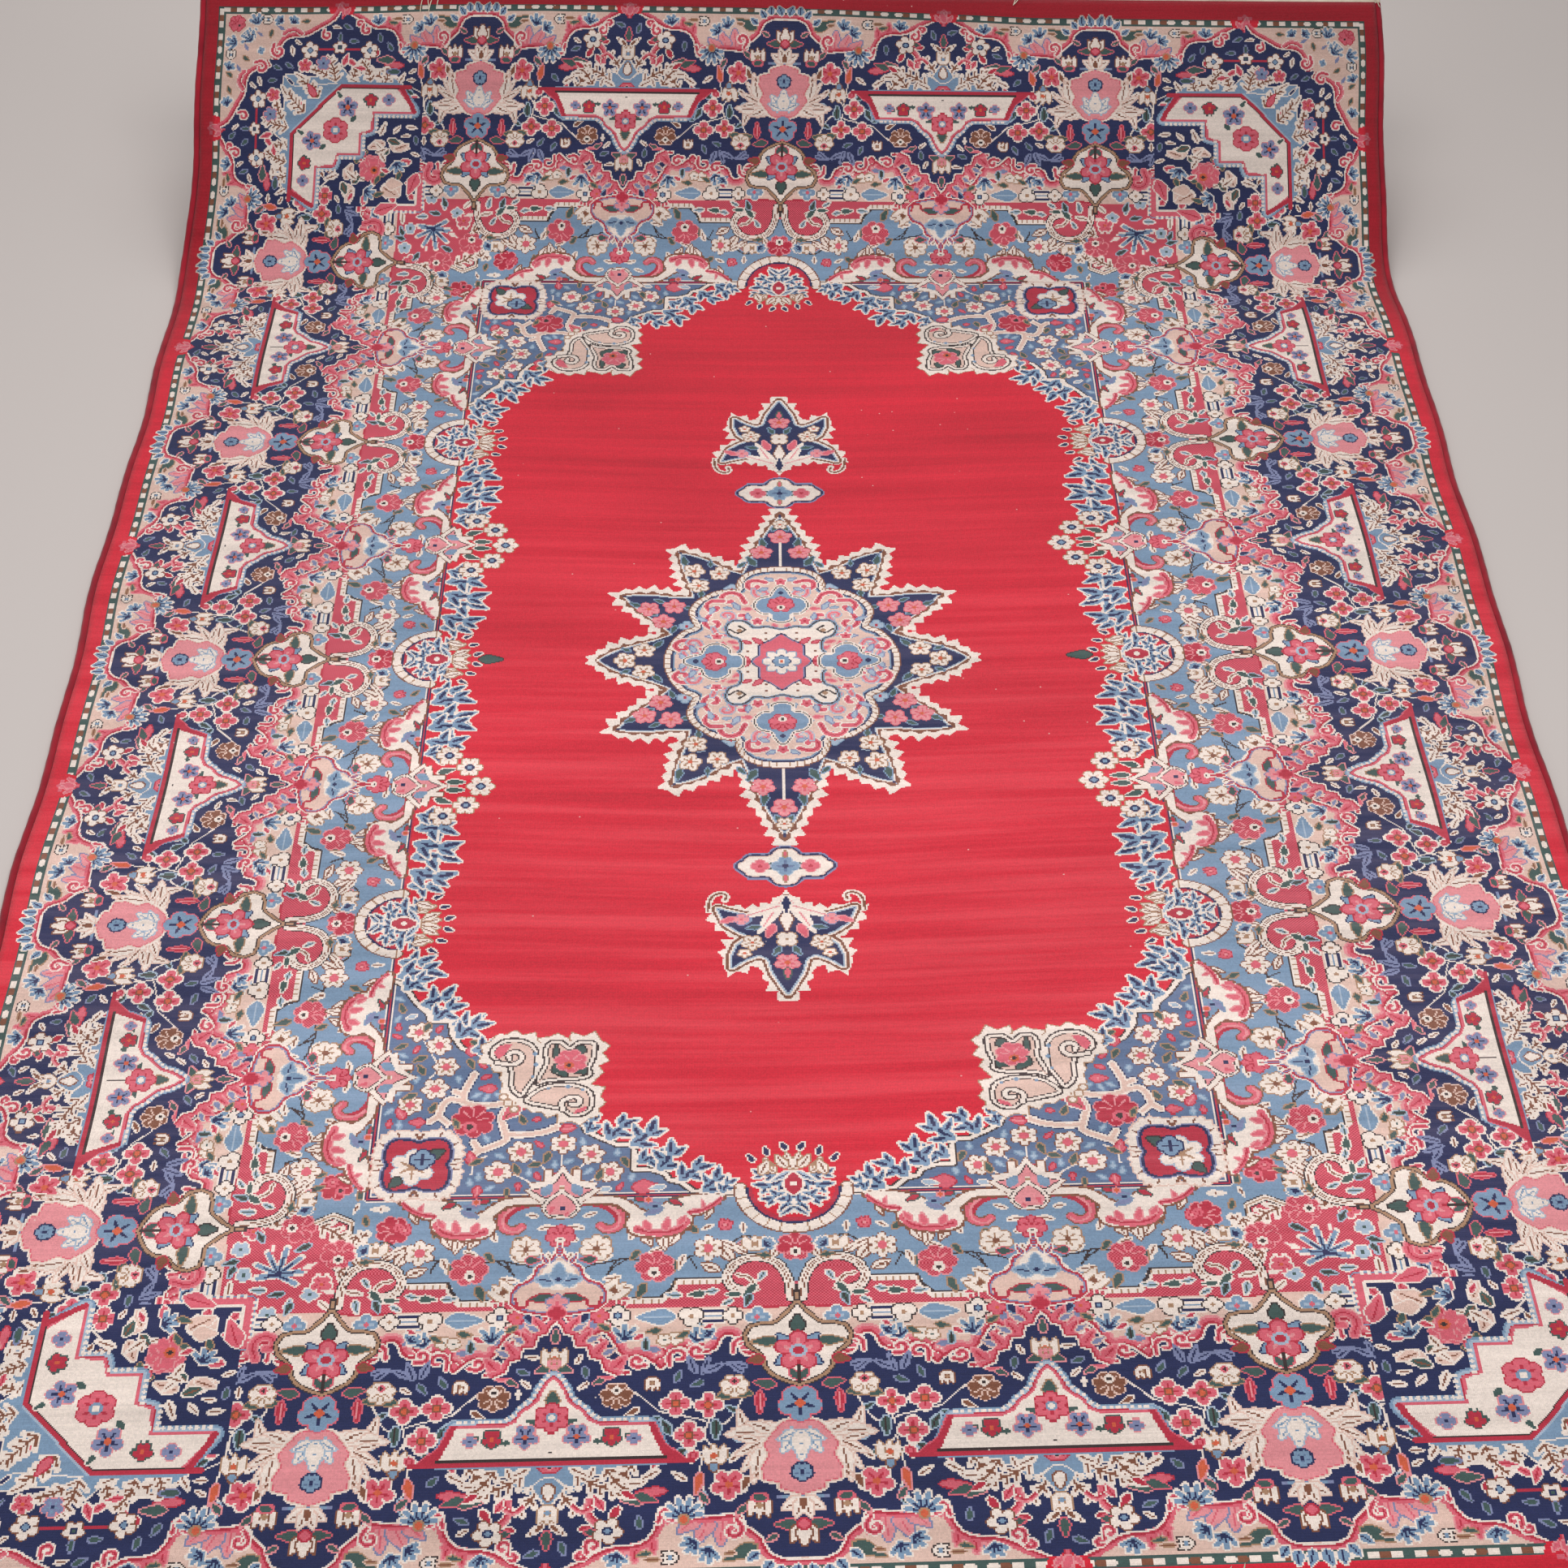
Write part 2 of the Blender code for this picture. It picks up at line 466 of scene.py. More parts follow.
@dataclass(frozen=True)
class Leaf:
    """A pointed leaf; its size is its length."""

    blade: Yarn
    edge: Yarn
    vein: Optional[Yarn] = None
    slim: float = 0.42
    lean: float = 0.0

    def draw(self, art: Chart, spot: Spot, size: float) -> None:
        """Draw one.

        Args:
            art: the chart.
            spot: where it stands, and the way it grows.
            size: in millimetres, as its class says.
        """
        tip = size * self.lean
        art.soft(spot, blade(size, self.slim, self.lean), self.blade, ((self.edge, 2.0),))
        if self.vein is not None:
            art.stroke(spot, [(0, 0.1 * size), (0.2 * tip, 0.5 * size), (0.8 * tip, 0.8 * size)], 2.0,
                       self.vein)


@dataclass(frozen=True)
class Feather:
    """A bent rib with leaflets on both sides; its size is its length."""

    blade: Yarn = IVORY
    rib: Yarn = BROWN
    pairs: int = 3
    lean: float = 0.15

    def draw(self, art: Chart, spot: Spot, size: float) -> None:
        """Draw one.

        Args:
            art: the chart.
            spot: where it stands, and the way it grows.
            size: in millimetres, as its class says.
        """
        spine = bend([(0, 0), (0.1 * self.lean * size, 0.5 * size), (self.lean * size, size)])
        for yarn, width, reach in ((self.blade, 8.0, 0.36), (self.rib, 2.6, 0.26)):
            art.line(spot, spine, width, yarn)
            for pair in range(self.pairs + 1):
                share = (pair + 0.2) / (self.pairs + 0.6)
                x, y = spine[int(share * (len(spine) - 1))]
                long = reach * size * (1.0 - 0.5 * share)
                for side in (-0.75, 0.75):
                    art.line(spot, [(x, y), (x + side * long, y + 0.6 * long)], width, yarn)


@dataclass(frozen=True)
class Fan:
    """A fan flower: rays of one yarn with darker strokes along them; its size is a ray's length."""

    ray: Yarn = SKY
    line: Yarn = NAVY
    rays: int = 4
    spread: float = 112.0

    def draw(self, art: Chart, spot: Spot, size: float) -> None:
        """Draw one.

        Args:
            art: the chart.
            spot: where it stands, and the way it grows.
            size: in millimetres, as its class says.
        """
        for yarn, width, reach in ((IVORY, 9.0, 1.08), (self.ray, 6.0, 1.0), (self.line, 2.4, 0.66)):
            for turn in np.linspace(-0.5, 0.5, self.rays) * self.spread:
                long = size * reach * (1.0 - 0.003 * abs(turn))
                art.line(spot, [(0, 0), way(turn) * long], width, yarn)


@dataclass(frozen=True)
class Carnation:
    """A carnation from the side, with a toothed crown; its size is the radius."""

    petal: Yarn = ROSE
    shade: Yarn = CRIMSON
    cup: Yarn = IVORY

    def draw(self, art: Chart, spot: Spot, size: float) -> None:
        """Draw one.

        Args:
            art: the chart.
            spot: where it stands, and the way it grows.
            size: in millimetres, as its class says.
        """
        art.shape(spot, petals(7, size, 0.74 * size, 0.7, 1.05), self.petal, ((self.shade, 1.6),))
        for turn in (-60.0, -20.0, 20.0, 60.0, 140.0, 220.0):
            art.line(spot, [way(turn) * 0.25 * size, way(turn) * 0.75 * size], 2.0, self.shade)
        art.dots(spot, [(0, -0.4 * size)], 0.33 * size, self.cup)
        art.dots(spot, [(0, -0.4 * size)], 0.15 * size, DARK)


@dataclass(frozen=True)
class Bell:
    """A tulip or bell that opens along its spot; its size is its length."""

    petal: Yarn = IVORY
    shade: Yarn = BROWN
    heart: Yarn = ROSE
    wide: float = 1.0

    def draw(self, art: Chart, spot: Spot, size: float) -> None:
        """Draw one.

        Args:
            art: the chart.
            spot: where it stands, and the way it grows.
            size: in millimetres, as its class says.
        """
        half = [(0, 0), (0.42, 0.3), (0.38, 0.95), (0.15, 0.72), (0, 1.02)]
        cup = [(x * size * self.wide, y * size) for x, y in whole(half)]
        art.shape(spot, bend(cup, True, 4), self.petal, ((self.shade, 1.6),))
        for side in (-0.13, 0.13):
            art.line(spot, [(side * size, 0.3 * size), (side * 1.2 * size, 0.62 * size)], 1.8, self.shade)
        art.dots(spot, [(0, 0.45 * size)], 0.13 * size, self.heart)


@dataclass(frozen=True)
class Curl:
    """A scroll that starts at the spot and curls back in; its size is the curl's radius."""

    yarn: Yarn
    edge: Optional[Yarn] = None
    width: float = 4.5
    turns: float = 0.8
    heart: Optional[Yarn] = None

    def draw(self, art: Chart, spot: Spot, size: float) -> None:
        """Draw one.

        Args:
            art: the chart.
            spot: where it stands, and the way it grows.
            size: in millimetres, as its class says.
        """
        angle = np.linspace(0.0, 2.0 * math.pi * self.turns, 24)
        shrink = size * (1.0 - 0.68 * angle / angle[-1])
        path = np.stack([size - shrink * np.cos(angle), size * 0.9 + shrink * np.sin(angle)], 1)
        path = np.concatenate([[(0.0, 0.0)], path])
        if self.edge is not None:
            art.line(spot, path, self.width + 4.0, self.edge)
        art.line(spot, path, self.width, self.yarn)
        if self.heart is not None:
            art.line(spot, path[:-4], 2.0, self.heart)


@dataclass(frozen=True)
class Twig:
    """A leafy twig with white edges and dark hearts; its size is its length."""

    body: Yarn = SKY
    heart: Yarn = NAVY
    leaves: Tuple[Tuple[float, float, float, float], ...] = (
        (0.0, 0.0, -4.0, 0.6), (0.0, 0.14, -58.0, 0.46), (0.02, 0.3, 62.0, 0.44), (0.0, 0.5, -30.0, 0.42),
        (0.0, 0.5, 22.0, 0.5),
    )

    def draw(self, art: Chart, spot: Spot, size: float) -> None:
        """Draw one.

        Args:
            art: the chart.
            spot: where it stands, and the way it grows.
            size: in millimetres, as its class says.
        """
        places = [(spot.at(x * size, y * size, turn), share * size) for x, y, turn, share in self.leaves]
        for own, long in places:
            art.soft(own, blade(long, 0.46, 0.12), self.body, ((IVORY, 2.6),))
        for own, long in places:
            art.soft(own, blade(long, 0.46, 0.12), self.body)
            art.line(own, [(0.02 * long, 0.3 * long), (0.08 * long, 0.72 * long)], 0.17 * long, self.heart)


@dataclass(frozen=True)
class Bars:
    """A small block of bars across its spot; its size is their length."""

    outer: Yarn = NAVY
    inner: Yarn = SKY

    def draw(self, art: Chart, spot: Spot, size: float) -> None:
        """Draw one.

        Args:
            art: the chart.
            spot: where it stands, and the way it grows.
            size: in millimetres, as its class says.
        """
        rows = ((-6.5, self.outer), (0.0, self.inner), (6.5, self.outer))
        for y, yarn in rows:
            art.line(spot, [(-size / 2, y), (size / 2, y)], 8.0, IVORY)
        for y, yarn in rows:
            art.line(spot, [(-size / 2, y), (size / 2, y)], 4.0, yarn)


@dataclass(frozen=True)
class Dot:
    """A round dot with an edge; its size is the radius."""

    yarn: Yarn
    edge: Yarn

    def draw(self, art: Chart, spot: Spot, size: float) -> None:
        """Draw one."""
        art.dots(spot, [(0, 0)], size, self.edge)
        art.dots(spot, [(0, 0)], 0.65 * size, self.yarn)


@dataclass(frozen=True)
class Flame:
    """A shaded scroll leaf with a hooked tip; its size is its length."""

    lean: float = 0.3
    shade: Yarn = CRIMSON
    blade: Yarn = ROSE
    light: Yarn = PINK

    def draw(self, art: Chart, spot: Spot, size: float) -> None:
        """Draw one.

        Args:
            art: the chart.
            spot: where it stands, and the way it grows.
            size: in millimetres, as its class says.
        """
        rib = bend([(0, 0), (-0.12 * size, 0.4 * size), (0.1 * self.lean * size, 0.8 * size),
                    (self.lean * size, size)])
        art.line(spot, rib, 0.34 * size, IVORY)
        art.line(spot, rib, 0.34 * size - 4.0, self.blade)
        art.line(spot, beside(rib, 0.09 * size), 2.4, self.light)
        art.line(spot, beside(rib, -0.09 * size), 2.4, self.shade)


Motif = Union[Flower, Leaf, Feather, Fan, Carnation, Bell, Curl, Twig, Bars, Dot, Flame]
Bed = Tuple[Motif, Sequence[Tuple[float, float, float, float]]]
Strew = Tuple[Motif, float, float]

PINK_FLOWER = Flower(ROSE, IVORY, ORANGE, 4, 0.42, 2.6, CRIMSON, BROWN)
PINK_BLOSSOM = Flower(ROSE, IVORY, ORANGE, 5, 0.5, 2.0, CRIMSON)
STAR_FLOWER = Flower(IVORY, TAN, ORANGE, 5, 0.5, 1.6, TAN)
LAVENDER_FLOWER = Flower(LAVENDER, PINK, ORANGE, 5, 0.45, 1.4, NAVY)
BROWN_FLOWER = Flower(CRIMSON, GREEN, ORANGE, 5, 0.6, 1.8)
DAISY = Flower(IVORY, BROWN, ROSE, 6, 0.58, 1.4, TAN, ROSE)
FIELD_DAISY = Flower(IVORY, TAN, SKY, 6, 0.6, 1.6, BEIGE, NAVY)
WHITE_FLOWER = Flower(IVORY, BROWN, SKY, 5, 0.5, 1.6, None, NAVY)
BLOCK_FLOWER = Flower(IVORY, DARK, TAN, 4, 0.62, 1.8)
GREEN_LEAF = Leaf(GREEN, TAN)
DARK_LEAF = Leaf(GREEN, PALE, DARK)
IVORY_LEAF = Leaf(IVORY, IVORY, BROWN, 0.34)
BROWN_LEAF = Leaf(BROWN, IVORY, None, 0.36)
PINK_LEAF = Leaf(ROSE, IVORY, CRIMSON)
RED_BUD = Leaf(CRIMSON, IVORY)
ORANGE_LEAF = Leaf(ORANGE, PINK, None, 0.32)
FAN = Fan()
CARNATION = Carnation()
LIGHT_BLOSSOM = Flower(PINK, ROSE, ORANGE, 5, 0.5, 1.6, ROSE)
PINK_CURL = Curl(ROSE, IVORY, 5.0, 0.8, CRIMSON)
RED_CURL = Curl(CRIMSON, IVORY, 4.0, 0.75)
FLAME = Flame()
BACK_FLAME = Flame(-0.3)
TWIG = Twig()
BARS = Bars()
QUILL = Leaf(IVORY, BEIGE, BROWN, 0.34)


class Drawing(Chart):
    """The chart, with ways to draw many motifs at a time."""

    def plant(self, spot: Spot, beds: Sequence[Bed], stretch: float = 1.0,
              sides: Sequence[float] = (1.0,)) -> None:
        """Draw the motifs of a list.

        Args:
            spot: where the list's places are counted from.
            beds: each motif with its places, as x, y, turn and size.
            stretch: how much the places are stretched across.
            sides: 1 for the places as they are, -1 for their mirror image.
        """
        for motif, places in beds:
            for x, y, turn, size in places:
                for side in sides:
                    motif.draw(self, spot.at(side * x * stretch, y, side * turn, flip=side), size)

    def band(self, spot: Spot, path: np.ndarray, rows: Sequence[Tuple[float, float, Yarn]]) -> None:
        """Draw lines side by side along a path.

        Args:
            spot: where the path is counted from.
            path: its points.
            rows: each line's depth to the left of the path, its width and its yarn.
        """
        for depth, width, yarn in rows:
            self.line(spot, beside(path, depth), width, yarn)

    def mottle(self, where: np.ndarray, ground: Yarn, other: Yarn) -> None:
        """Tie every second knot of a ground in another yarn, as in cloth of two mixed shades."""
        rows, columns = np.indices(self.cells.shape)
        self.cells[where & (self.cells == ground) & ((rows + columns) % 2 == 0)] = other

    def strew(self, ground: Yarn, where: np.ndarray, beds: Sequence[Strew], seed: int) -> None:
        """Strew small motifs over what is still empty of a ground.

        Args:
            ground: its yarn.
            where: a mask of the knots that may be strewn on.
            beds: each motif, its size and the empty space that it needs on each side.
            seed: for the order and the turns.
        """
        chance = np.random.default_rng(seed)
        for motif, size, space in beds:
            reach = max(1, int(space / self.knot))
            rows, columns = np.nonzero(where & (self.cells == ground))
            for pick in chance.permutation(len(rows)):
                y, x = rows[pick], columns[pick]
                window = self.cells[max(0, y - reach) : y + reach + 1, max(0, x - reach) : x + reach + 1]
                if (window == ground).all():
                    turn = chance.uniform(0.0, 360.0)
                    spot = Spot((x + 0.5) * self.knot, (y + 0.5) * self.knot, turn)
                    root = 0.0 if isinstance(motif, Flower) else -0.5 * size
                    motif.draw(self, spot.at(0.0, root), size)


@dataclass(frozen=True)
class Bands:
    """How far the nested bands lie from the middle of the main border, in millimetres."""

    side: float = 795.0
    end: float = 1277.0
    red: float = 222.0
    beads: float = 208.0
    outer_guard: float = 138.0
    inner_guard: float = -52.0
    rose: float = -130.0
    sky: float = -152.0

    def out(self, chart: Chart) -> np.ndarray:
        """Return how far each knot lies out from the middle of the main border."""
        return np.maximum(chart.u - self.side, chart.v - self.end)

    def on_side(self, along: float, flip: float = 1.0) -> Spot:
        """Return a spot on the long side's border, growing outward."""
        return Spot(self.side, along, 90.0, -flip)

    def on_end(self, along: float, flip: float = 1.0) -> Spot:
        """Return a spot on the short end's border, growing outward."""
        return Spot(along, self.end, 0.0, flip)


@dataclass(frozen=True)
class HalfUnit:
    """Half of the border's repeat, from a palmette's axis to a cartouche's."""

    palmette: Spot
    length: float
    in_corner: bool = False

    @property
    def stretch(self) -> float:
        """How much it is stretched along the border."""
        return self.length / HALF_UNIT


# Outlines, and beds of motifs, in millimetres from a spot on the border's middle line. A bed is a motif
# with its places, as x, y, turn and size, and x runs from a palmette's axis towards a cartouche's.
NAVY_OUTER = ((0, 198), (20, 197), (32, 191), (38, 181), (42, 171), (50, 163), (58, 155), (62, 144),
              (76, 141),
              (92, 143), (110, 143), (126, 141), (138, 138), (147, 131), (152, 136), (153, 148), (158, 162),
              (166, 172),
              (178, 176), (194, 177), (208, 181), (220, 188), (232, 195), (245, 202), (256, 211),
              (264, 224))
NAVY_INNER = ((0, -62), (40, -60), (58, -60), (66, -72), (72, -86), (80, -84), (86, -70), (100, -62),
              (118, -66),
              (130, -72), (139, -62), (142, -48), (150, -42), (160, -52), (172, -60), (186, -58),
              (195, -64),
              (203, -80), (213, -94), (222, -84), (229, -70), (237, -82), (246, -98), (254, -112),
              (264, -128))
OUTER_SCROLLS = (
    (Leaf(PINK, LAVENDER, ROSE, 0.55), ((82, 142, 4, 40), (94, 142, 26, 40), (106, 142, 48, 34),
                                        (182, 174, 20, 26))),
    (Leaf(ROSE, PINK, CRIMSON, 0.5), ((72, 142, -14, 30), (120, 140, 64, 26), (160, 166, -16, 24),
                                      (172, 174, 4, 26), (196, 178, 50, 20))),
    (PINK_CURL, ((68, 150, -30, 10), (222, 184, 10, 6))),
    (PINK_CURL, ((150, 150, 195, 11), (222, 186, 165, 8))),
)
OUTER_FLOWERS = (
    (GREEN_LEAF, ((48, 182, 64, 38), (158, 188, 80, 14))),
    (Leaf(SKY, IVORY, NAVY, 0.62), ((6, 206, 16, 22), (24, 206, 4, 20), (33, 201, 34, 18),
                                    (46, 190, 50, 17))),
    (FAN, ((96, 184, 20, 17), (112, 176, 60, 14), (192, 188, 10, 15))),
    (Bell(IVORY, DARK, SKY), ((130, 194, 90, 18),)),
    (Leaf(TAN, BEIGE, BROWN), ((148, 196, 90, 18), (70, 190, 85, 14))),
    (Leaf(ROSE, PINK), ((262, 204, 16, 22), (258, 206, -40, 14))),
)
INNER_SCROLLS = (
    (PINK_CURL, ((70, -66, 185, 11), (140, -50, 175, 11), (226, -68, 160, 11))),
    (PINK_CURL, ((104, -60, 90, 8), (166, -50, 75, 8), (196, -56, 30, 9))),
    (FLAME, ((92, -66, 110, 30), (206, -70, 170, 34), (232, -84, 195, 34), (250, -108, 205, 34))),
    (BACK_FLAME, ((124, -66, 240, 28), (216, -60, 150, 30), (242, -96, 170, 26), (160, -52, 230, 22))),
    (Leaf(LAVENDER, PINK), ((88, -84, 120, 22), (196, -80, 190, 20), (224, -100, 190, 22),
                            (150, -70, 100, 18))),
)
INNER_FLOWERS = (
    (Flower(SKY, IVORY, ROSE, 4, 0.6, 2.0, PALE), ((43, -113, 0, 14),)),
    (DARK_LEAF, ((50, -146, 20, 18), (106, -104, 200, 20), (166, -70, 180, 18), (222, -122, 140, 18))),
    (Leaf(SKY, IVORY, PALE, 0.5), ((134, -116, 90, 44),)),
    (BARS, ((92, -116, 0, 24),)),
    (Flower(IVORY, DARK, TAN, 3, 0.6, 1.8), ((117, -116, 0, 14),)),
    (Flower(IVORY, DARK, SKY, 4, 0.66, 1.8, None, NAVY), ((197, -119, 0, 14),)),
    (BLOCK_FLOWER, ((70, -116, 0, 11),)),
    (Flower(ROSE, CRIMSON, ORANGE, 4, 0.7, 1.6), ((217, -119, 0, 10),)),
    (Leaf(NAVY, SKY, None, 0.9), ((228, -119, 90, 18),)),
    (FAN, ((112, -82, 200, 18), (190, -86, 200, 20), (96, -88, 150, 12))),
    (Flower(IVORY, TAN, GREEN, 5, 0.6, 1.6), ((134, -86, 0, 9), (146, -84, 0, 8))),
    (GREEN_LEAF, ((150, -98, 80, 16), (120, -94, 60, 14), (206, -100, 120, 14))),
    (PINK_LEAF, ((168, -92, 60, 14), (92, -104, 60, 12))),
)
CLUSTER = (
    (DARK_LEAF, ((89, 24, 0, 24), (122, 60, 60, 18), (84, 64, -50, 18), (138, 40, 150, 20),
                 (66, 14, 120, 14), (102, 114, 10, 22), (150, 20, 60, 16), (70, 44, 300, 16))),
    (PINK_FLOWER, ((97, 5, 0, 16), (133, 2, 0, 16), (119, 42, 0, 16))),
    (Flower(ROSE, IVORY, ORANGE, 5, 0.48, 2.4, CRIMSON), ((76, 106, 0, 19),)),
    (Leaf(GREEN, TAN, None, 0.6), ((69, -12, 70, 20), (69, -12, 280, 20))),
    (Carnation(IVORY, TAN, ROSE), ((69, -20, 0, 15),)),
    (Bell(IVORY, TAN, ORANGE, 1.1), ((91, 82, 180, 28),)),
    (Leaf(SKY, BROWN, None, 0.8), ((91, 78, 0, 12),)),
    (Bell(IVORY, BROWN, TAN), ((158, -34, 0, 18),)),
    (Carnation(BROWN, BEIGE, IVORY), ((196, -10, 0, 17),)),
    (ORANGE_LEAF, ((107, 90, 10, 28),)),
    (Leaf(ROSE, CRIMSON, None, 0.3), ((142, 112, 88, 32),)),
    (Fan(SKY, NAVY, 6, 150.0), ((124, 146, 180, 24),)),
    (Dot(ORANGE, TAN), ((124, 148, 0, 7),)),
    (Leaf(LAVENDER, LAVENDER, NAVY, 0.3), ((104, -36, 200, 24), (112, -38, 160, 24), (98, -40, 240, 20),
                                           (56, -46, 100, 22), (60, -38, 130, 18))),
    (IVORY_LEAF, ((164, 100, 80, 26), (150, 86, 60, 24), (62, 62, 40, 20), (176, 84, 100, 22))),
    (RED_BUD, ((190, 130, 30, 22), (182, -40, 100, 14), (160, 76, 200, 14))),
    (Leaf(GREEN, PINK), ((160, 122, 90, 30), (98, 128, 140, 18), (208, -34, 60, 16), (150, 58, 20, 18))),
    (PINK_LEAF, ((206, 134, 150, 22), (150, 70, 30, 16))),
    (BROWN_LEAF, ((56, 96, 20, 20), (154, 34, 90, 18), (172, 8, 60, 16))),
)
BORDER_STEMS = (
    ((58, -8), (80, 30), (112, 22), (150, 12)), ((92, 60), (100, 40), (90, 8)), ((100, 44), (122, 36)),
    ((100, 44), (108, 96), (98, 120)), ((74, 60), (100, 62), (128, 74)), ((150, 12), (168, -6), (184, -20)),
)
PALMETTE = (
    (Leaf(GREEN, DARK, None, 0.7), ((0, -92, 180, 24),)),
    (Leaf(GREEN, TAN, None, 0.4), ((22, -80, 88, 30),)),
    (Leaf(BROWN, CRIMSON, None, 0.7), ((38, -56, 80, 18),)),
    (Leaf(SKY, NAVY, None, 0.6), ((10, -60, 50, 20), (10, -74, 140, 20))),
    (Leaf(GREEN, ROSE, None, 0.5), ((2, -28, 150, 16), (26, -20, 100, 24))),
    (Leaf(CRIMSON, ROSE, PINK, 0.3), ((43, -12, 2, 30),)),
    (QUILL, ((58, 42, 162, 32), (22, 36, 84, 60), (34, 48, 60, 42), (38, 56, 38, 42), (44, 60, 10, 46),
             (46, 50, 100, 26), (36, 84, 50, 22), (30, 40, 112, 30))),
    (Bell(IVORY, BROWN, TAN), ((45, 120, 4, 28),)),
    (Leaf(GREEN, ROSE, None, 0.6), ((38, 122, 80, 16), (53, 122, -80, 16))),
    (Leaf(GREEN, PINK), ((60, 132, 40, 16), (28, 170, 60, 14))),
)
PALMETTE_TOP = (
    (Leaf(IVORY, BEIGE, BROWN, 0.6), ((0, 126, 60, 26), (0, 126, 20, 24))),
    (Leaf(BROWN, IVORY, None, 0.6), ((0, 124, 0, 16),)),
    (Leaf(GREEN, ROSE, None, 0.5), ((6, 157, 90, 24),)),
    (Leaf(IVORY, BROWN, None, 0.6), ((2, 158, 30, 24), (0, 158, 0, 26))),
    (Dot(ROSE, CRIMSON), ((0, 157, 0, 8),)),
)
CARTOUCHE_OUTSIDE = (
    (Feather(), ((30, 90, 56, 50), (88, 78, -30, 36))),
    (Feather(pairs=2), ((10, 104, 28, 40), (62, 84, 30, 34))),
    (IVORY_LEAF, ((22, 80, 60, 24), (48, 80, -20, 16), (70, 112, 60, 18), (6, 152, 50, 18))),
    (Flame(0.4), ((44, 122, 10, 34), (26, 128, 60, 20))),
    (RED_BUD, ((78, 112, 60, 18), (34, 158, 110, 14))),
    (Leaf(GREEN, ROSE), ((92, 116, 70, 26), (40, 160, 80, 16))),
    (WHITE_FLOWER, ((64, 160, 10, 16),)),
)
CARTOUCHE_BACK = (
    (Leaf(SKY, IVORY, None, 0.9), ((0, 92, 0, 34),)),
    (Bell(IVORY, TAN, SKY), ((0, 126, 0, 24),)),
    (Leaf(IVORY, BROWN, None, 0.6), ((0, 100, 0, 22),)),
    (BROWN_LEAF, ((-4, 150, -40, 14), (4, 150, 40, 14))),
    (Leaf(GREEN, ROSE), ((0, 158, 0, 24),)),
    (Carnation(ROSE, CRIMSON, PINK), ((0, 72, 180, 15),)),
)
CARTOUCHE_INSIDE = (
    (Leaf(GREEN, IVORY, None, 0.6), ((14, 24, 105, 15), (46, 46, 80, 12), (80, 38, 60, 12),
                                     (56, 34, 30, 10))),
    (LAVENDER_FLOWER, ((28, 40, 0, 15),)),
    (BROWN_FLOWER, ((66, 42, 0, 11),)),
    (Flower(LAVENDER, PINK, NAVY, 4, 0.6, 1.4), ((90, 44, 0, 8),)),
)
ROSETTE = Flower(ROSE, CRIMSON, IVORY, 6, 0.7, 1.6, CRIMSON, SKY)
PENDANT = (
    (Leaf(ROSE, PINK, CRIMSON, 0.5), ((14, -98, 150, 24), (28, -80, 150, 24), (44, -62, 150, 26),
                                      (62, -42, 140, 28), (50, -38, 100, 26))),
    (Leaf(LAVENDER, BEIGE), ((20, -100, 120, 16), (36, -84, 120, 16), (54, -66, 120, 16))),
    (Bell(IVORY, TAN, BROWN), ((54, -146, 130, 30),)),
    (Leaf(IVORY, TAN, BROWN), ((28, -47, 90, 15),)),
)
PENDANT_HEART = (
    (Leaf(SKY, PALE, NAVY, 0.7), ((3, -169, 100, 24), (-3, -169, -100, 24), (0, -167, 180, 26))),
    (Dot(NAVY, SKY), ((0, -172, 0, 5),)),
    (Leaf(GREEN, CRIMSON), ((6, -148, 80, 26), (-6, -148, -80, 26))),
    (Flower(PINK, LAVENDER, ROSE, 5, 0.5, 1.6), ((0, -138, 180, 13),)),
    (Flower(CRIMSON, ROSE, CRIMSON, 4, 0.7, 2.0), ((0, -124, 0, 10),)),
    (CARNATION, ((0, -233, 180, 16),)),
    (Leaf(CRIMSON, IVORY, LAVENDER, 0.3), ((0, -202, 180, 24), (12, -192, 150, 18), (-12, -192, -150, 18))),
    (Leaf(GREEN, PINK), ((0, -82, 180, 20),)),
    (Leaf(GREEN, PINK, None, 0.6), ((4, -50, 70, 18), (-4, -50, -70, 18))),
    (Bell(IVORY, TAN, ORANGE, 1.2), ((0, -48, 180, 28),)),
    (Bell(PINK, TAN, ROSE, 1.1), ((0, -47, 180, 15),)),
)
PENDANT_BAND = ((0, -117), (8, -108), (12, -98), (22, -94), (25, -80), (38, -78), (42, -64), (54, -60),
                (58, -46), (70, -40))
CORNER_INSIDE = (
    (Leaf(GREEN, IVORY, None, 0.55), ((-26, 16, -40, 17), (-46, 56, -110, 14), (-8, 58, 30, 14),
                                      (-70, 46, 20, 12))),
    (LAVENDER_FLOWER, ((-20, 42, 0, 18),)),
    (BROWN_FLOWER, ((-62, 55, 0, 12),)),
    (Flower(LAVENDER, PINK, NAVY, 4, 0.6, 1.4), ((-94, 56, 0, 11),)),
)
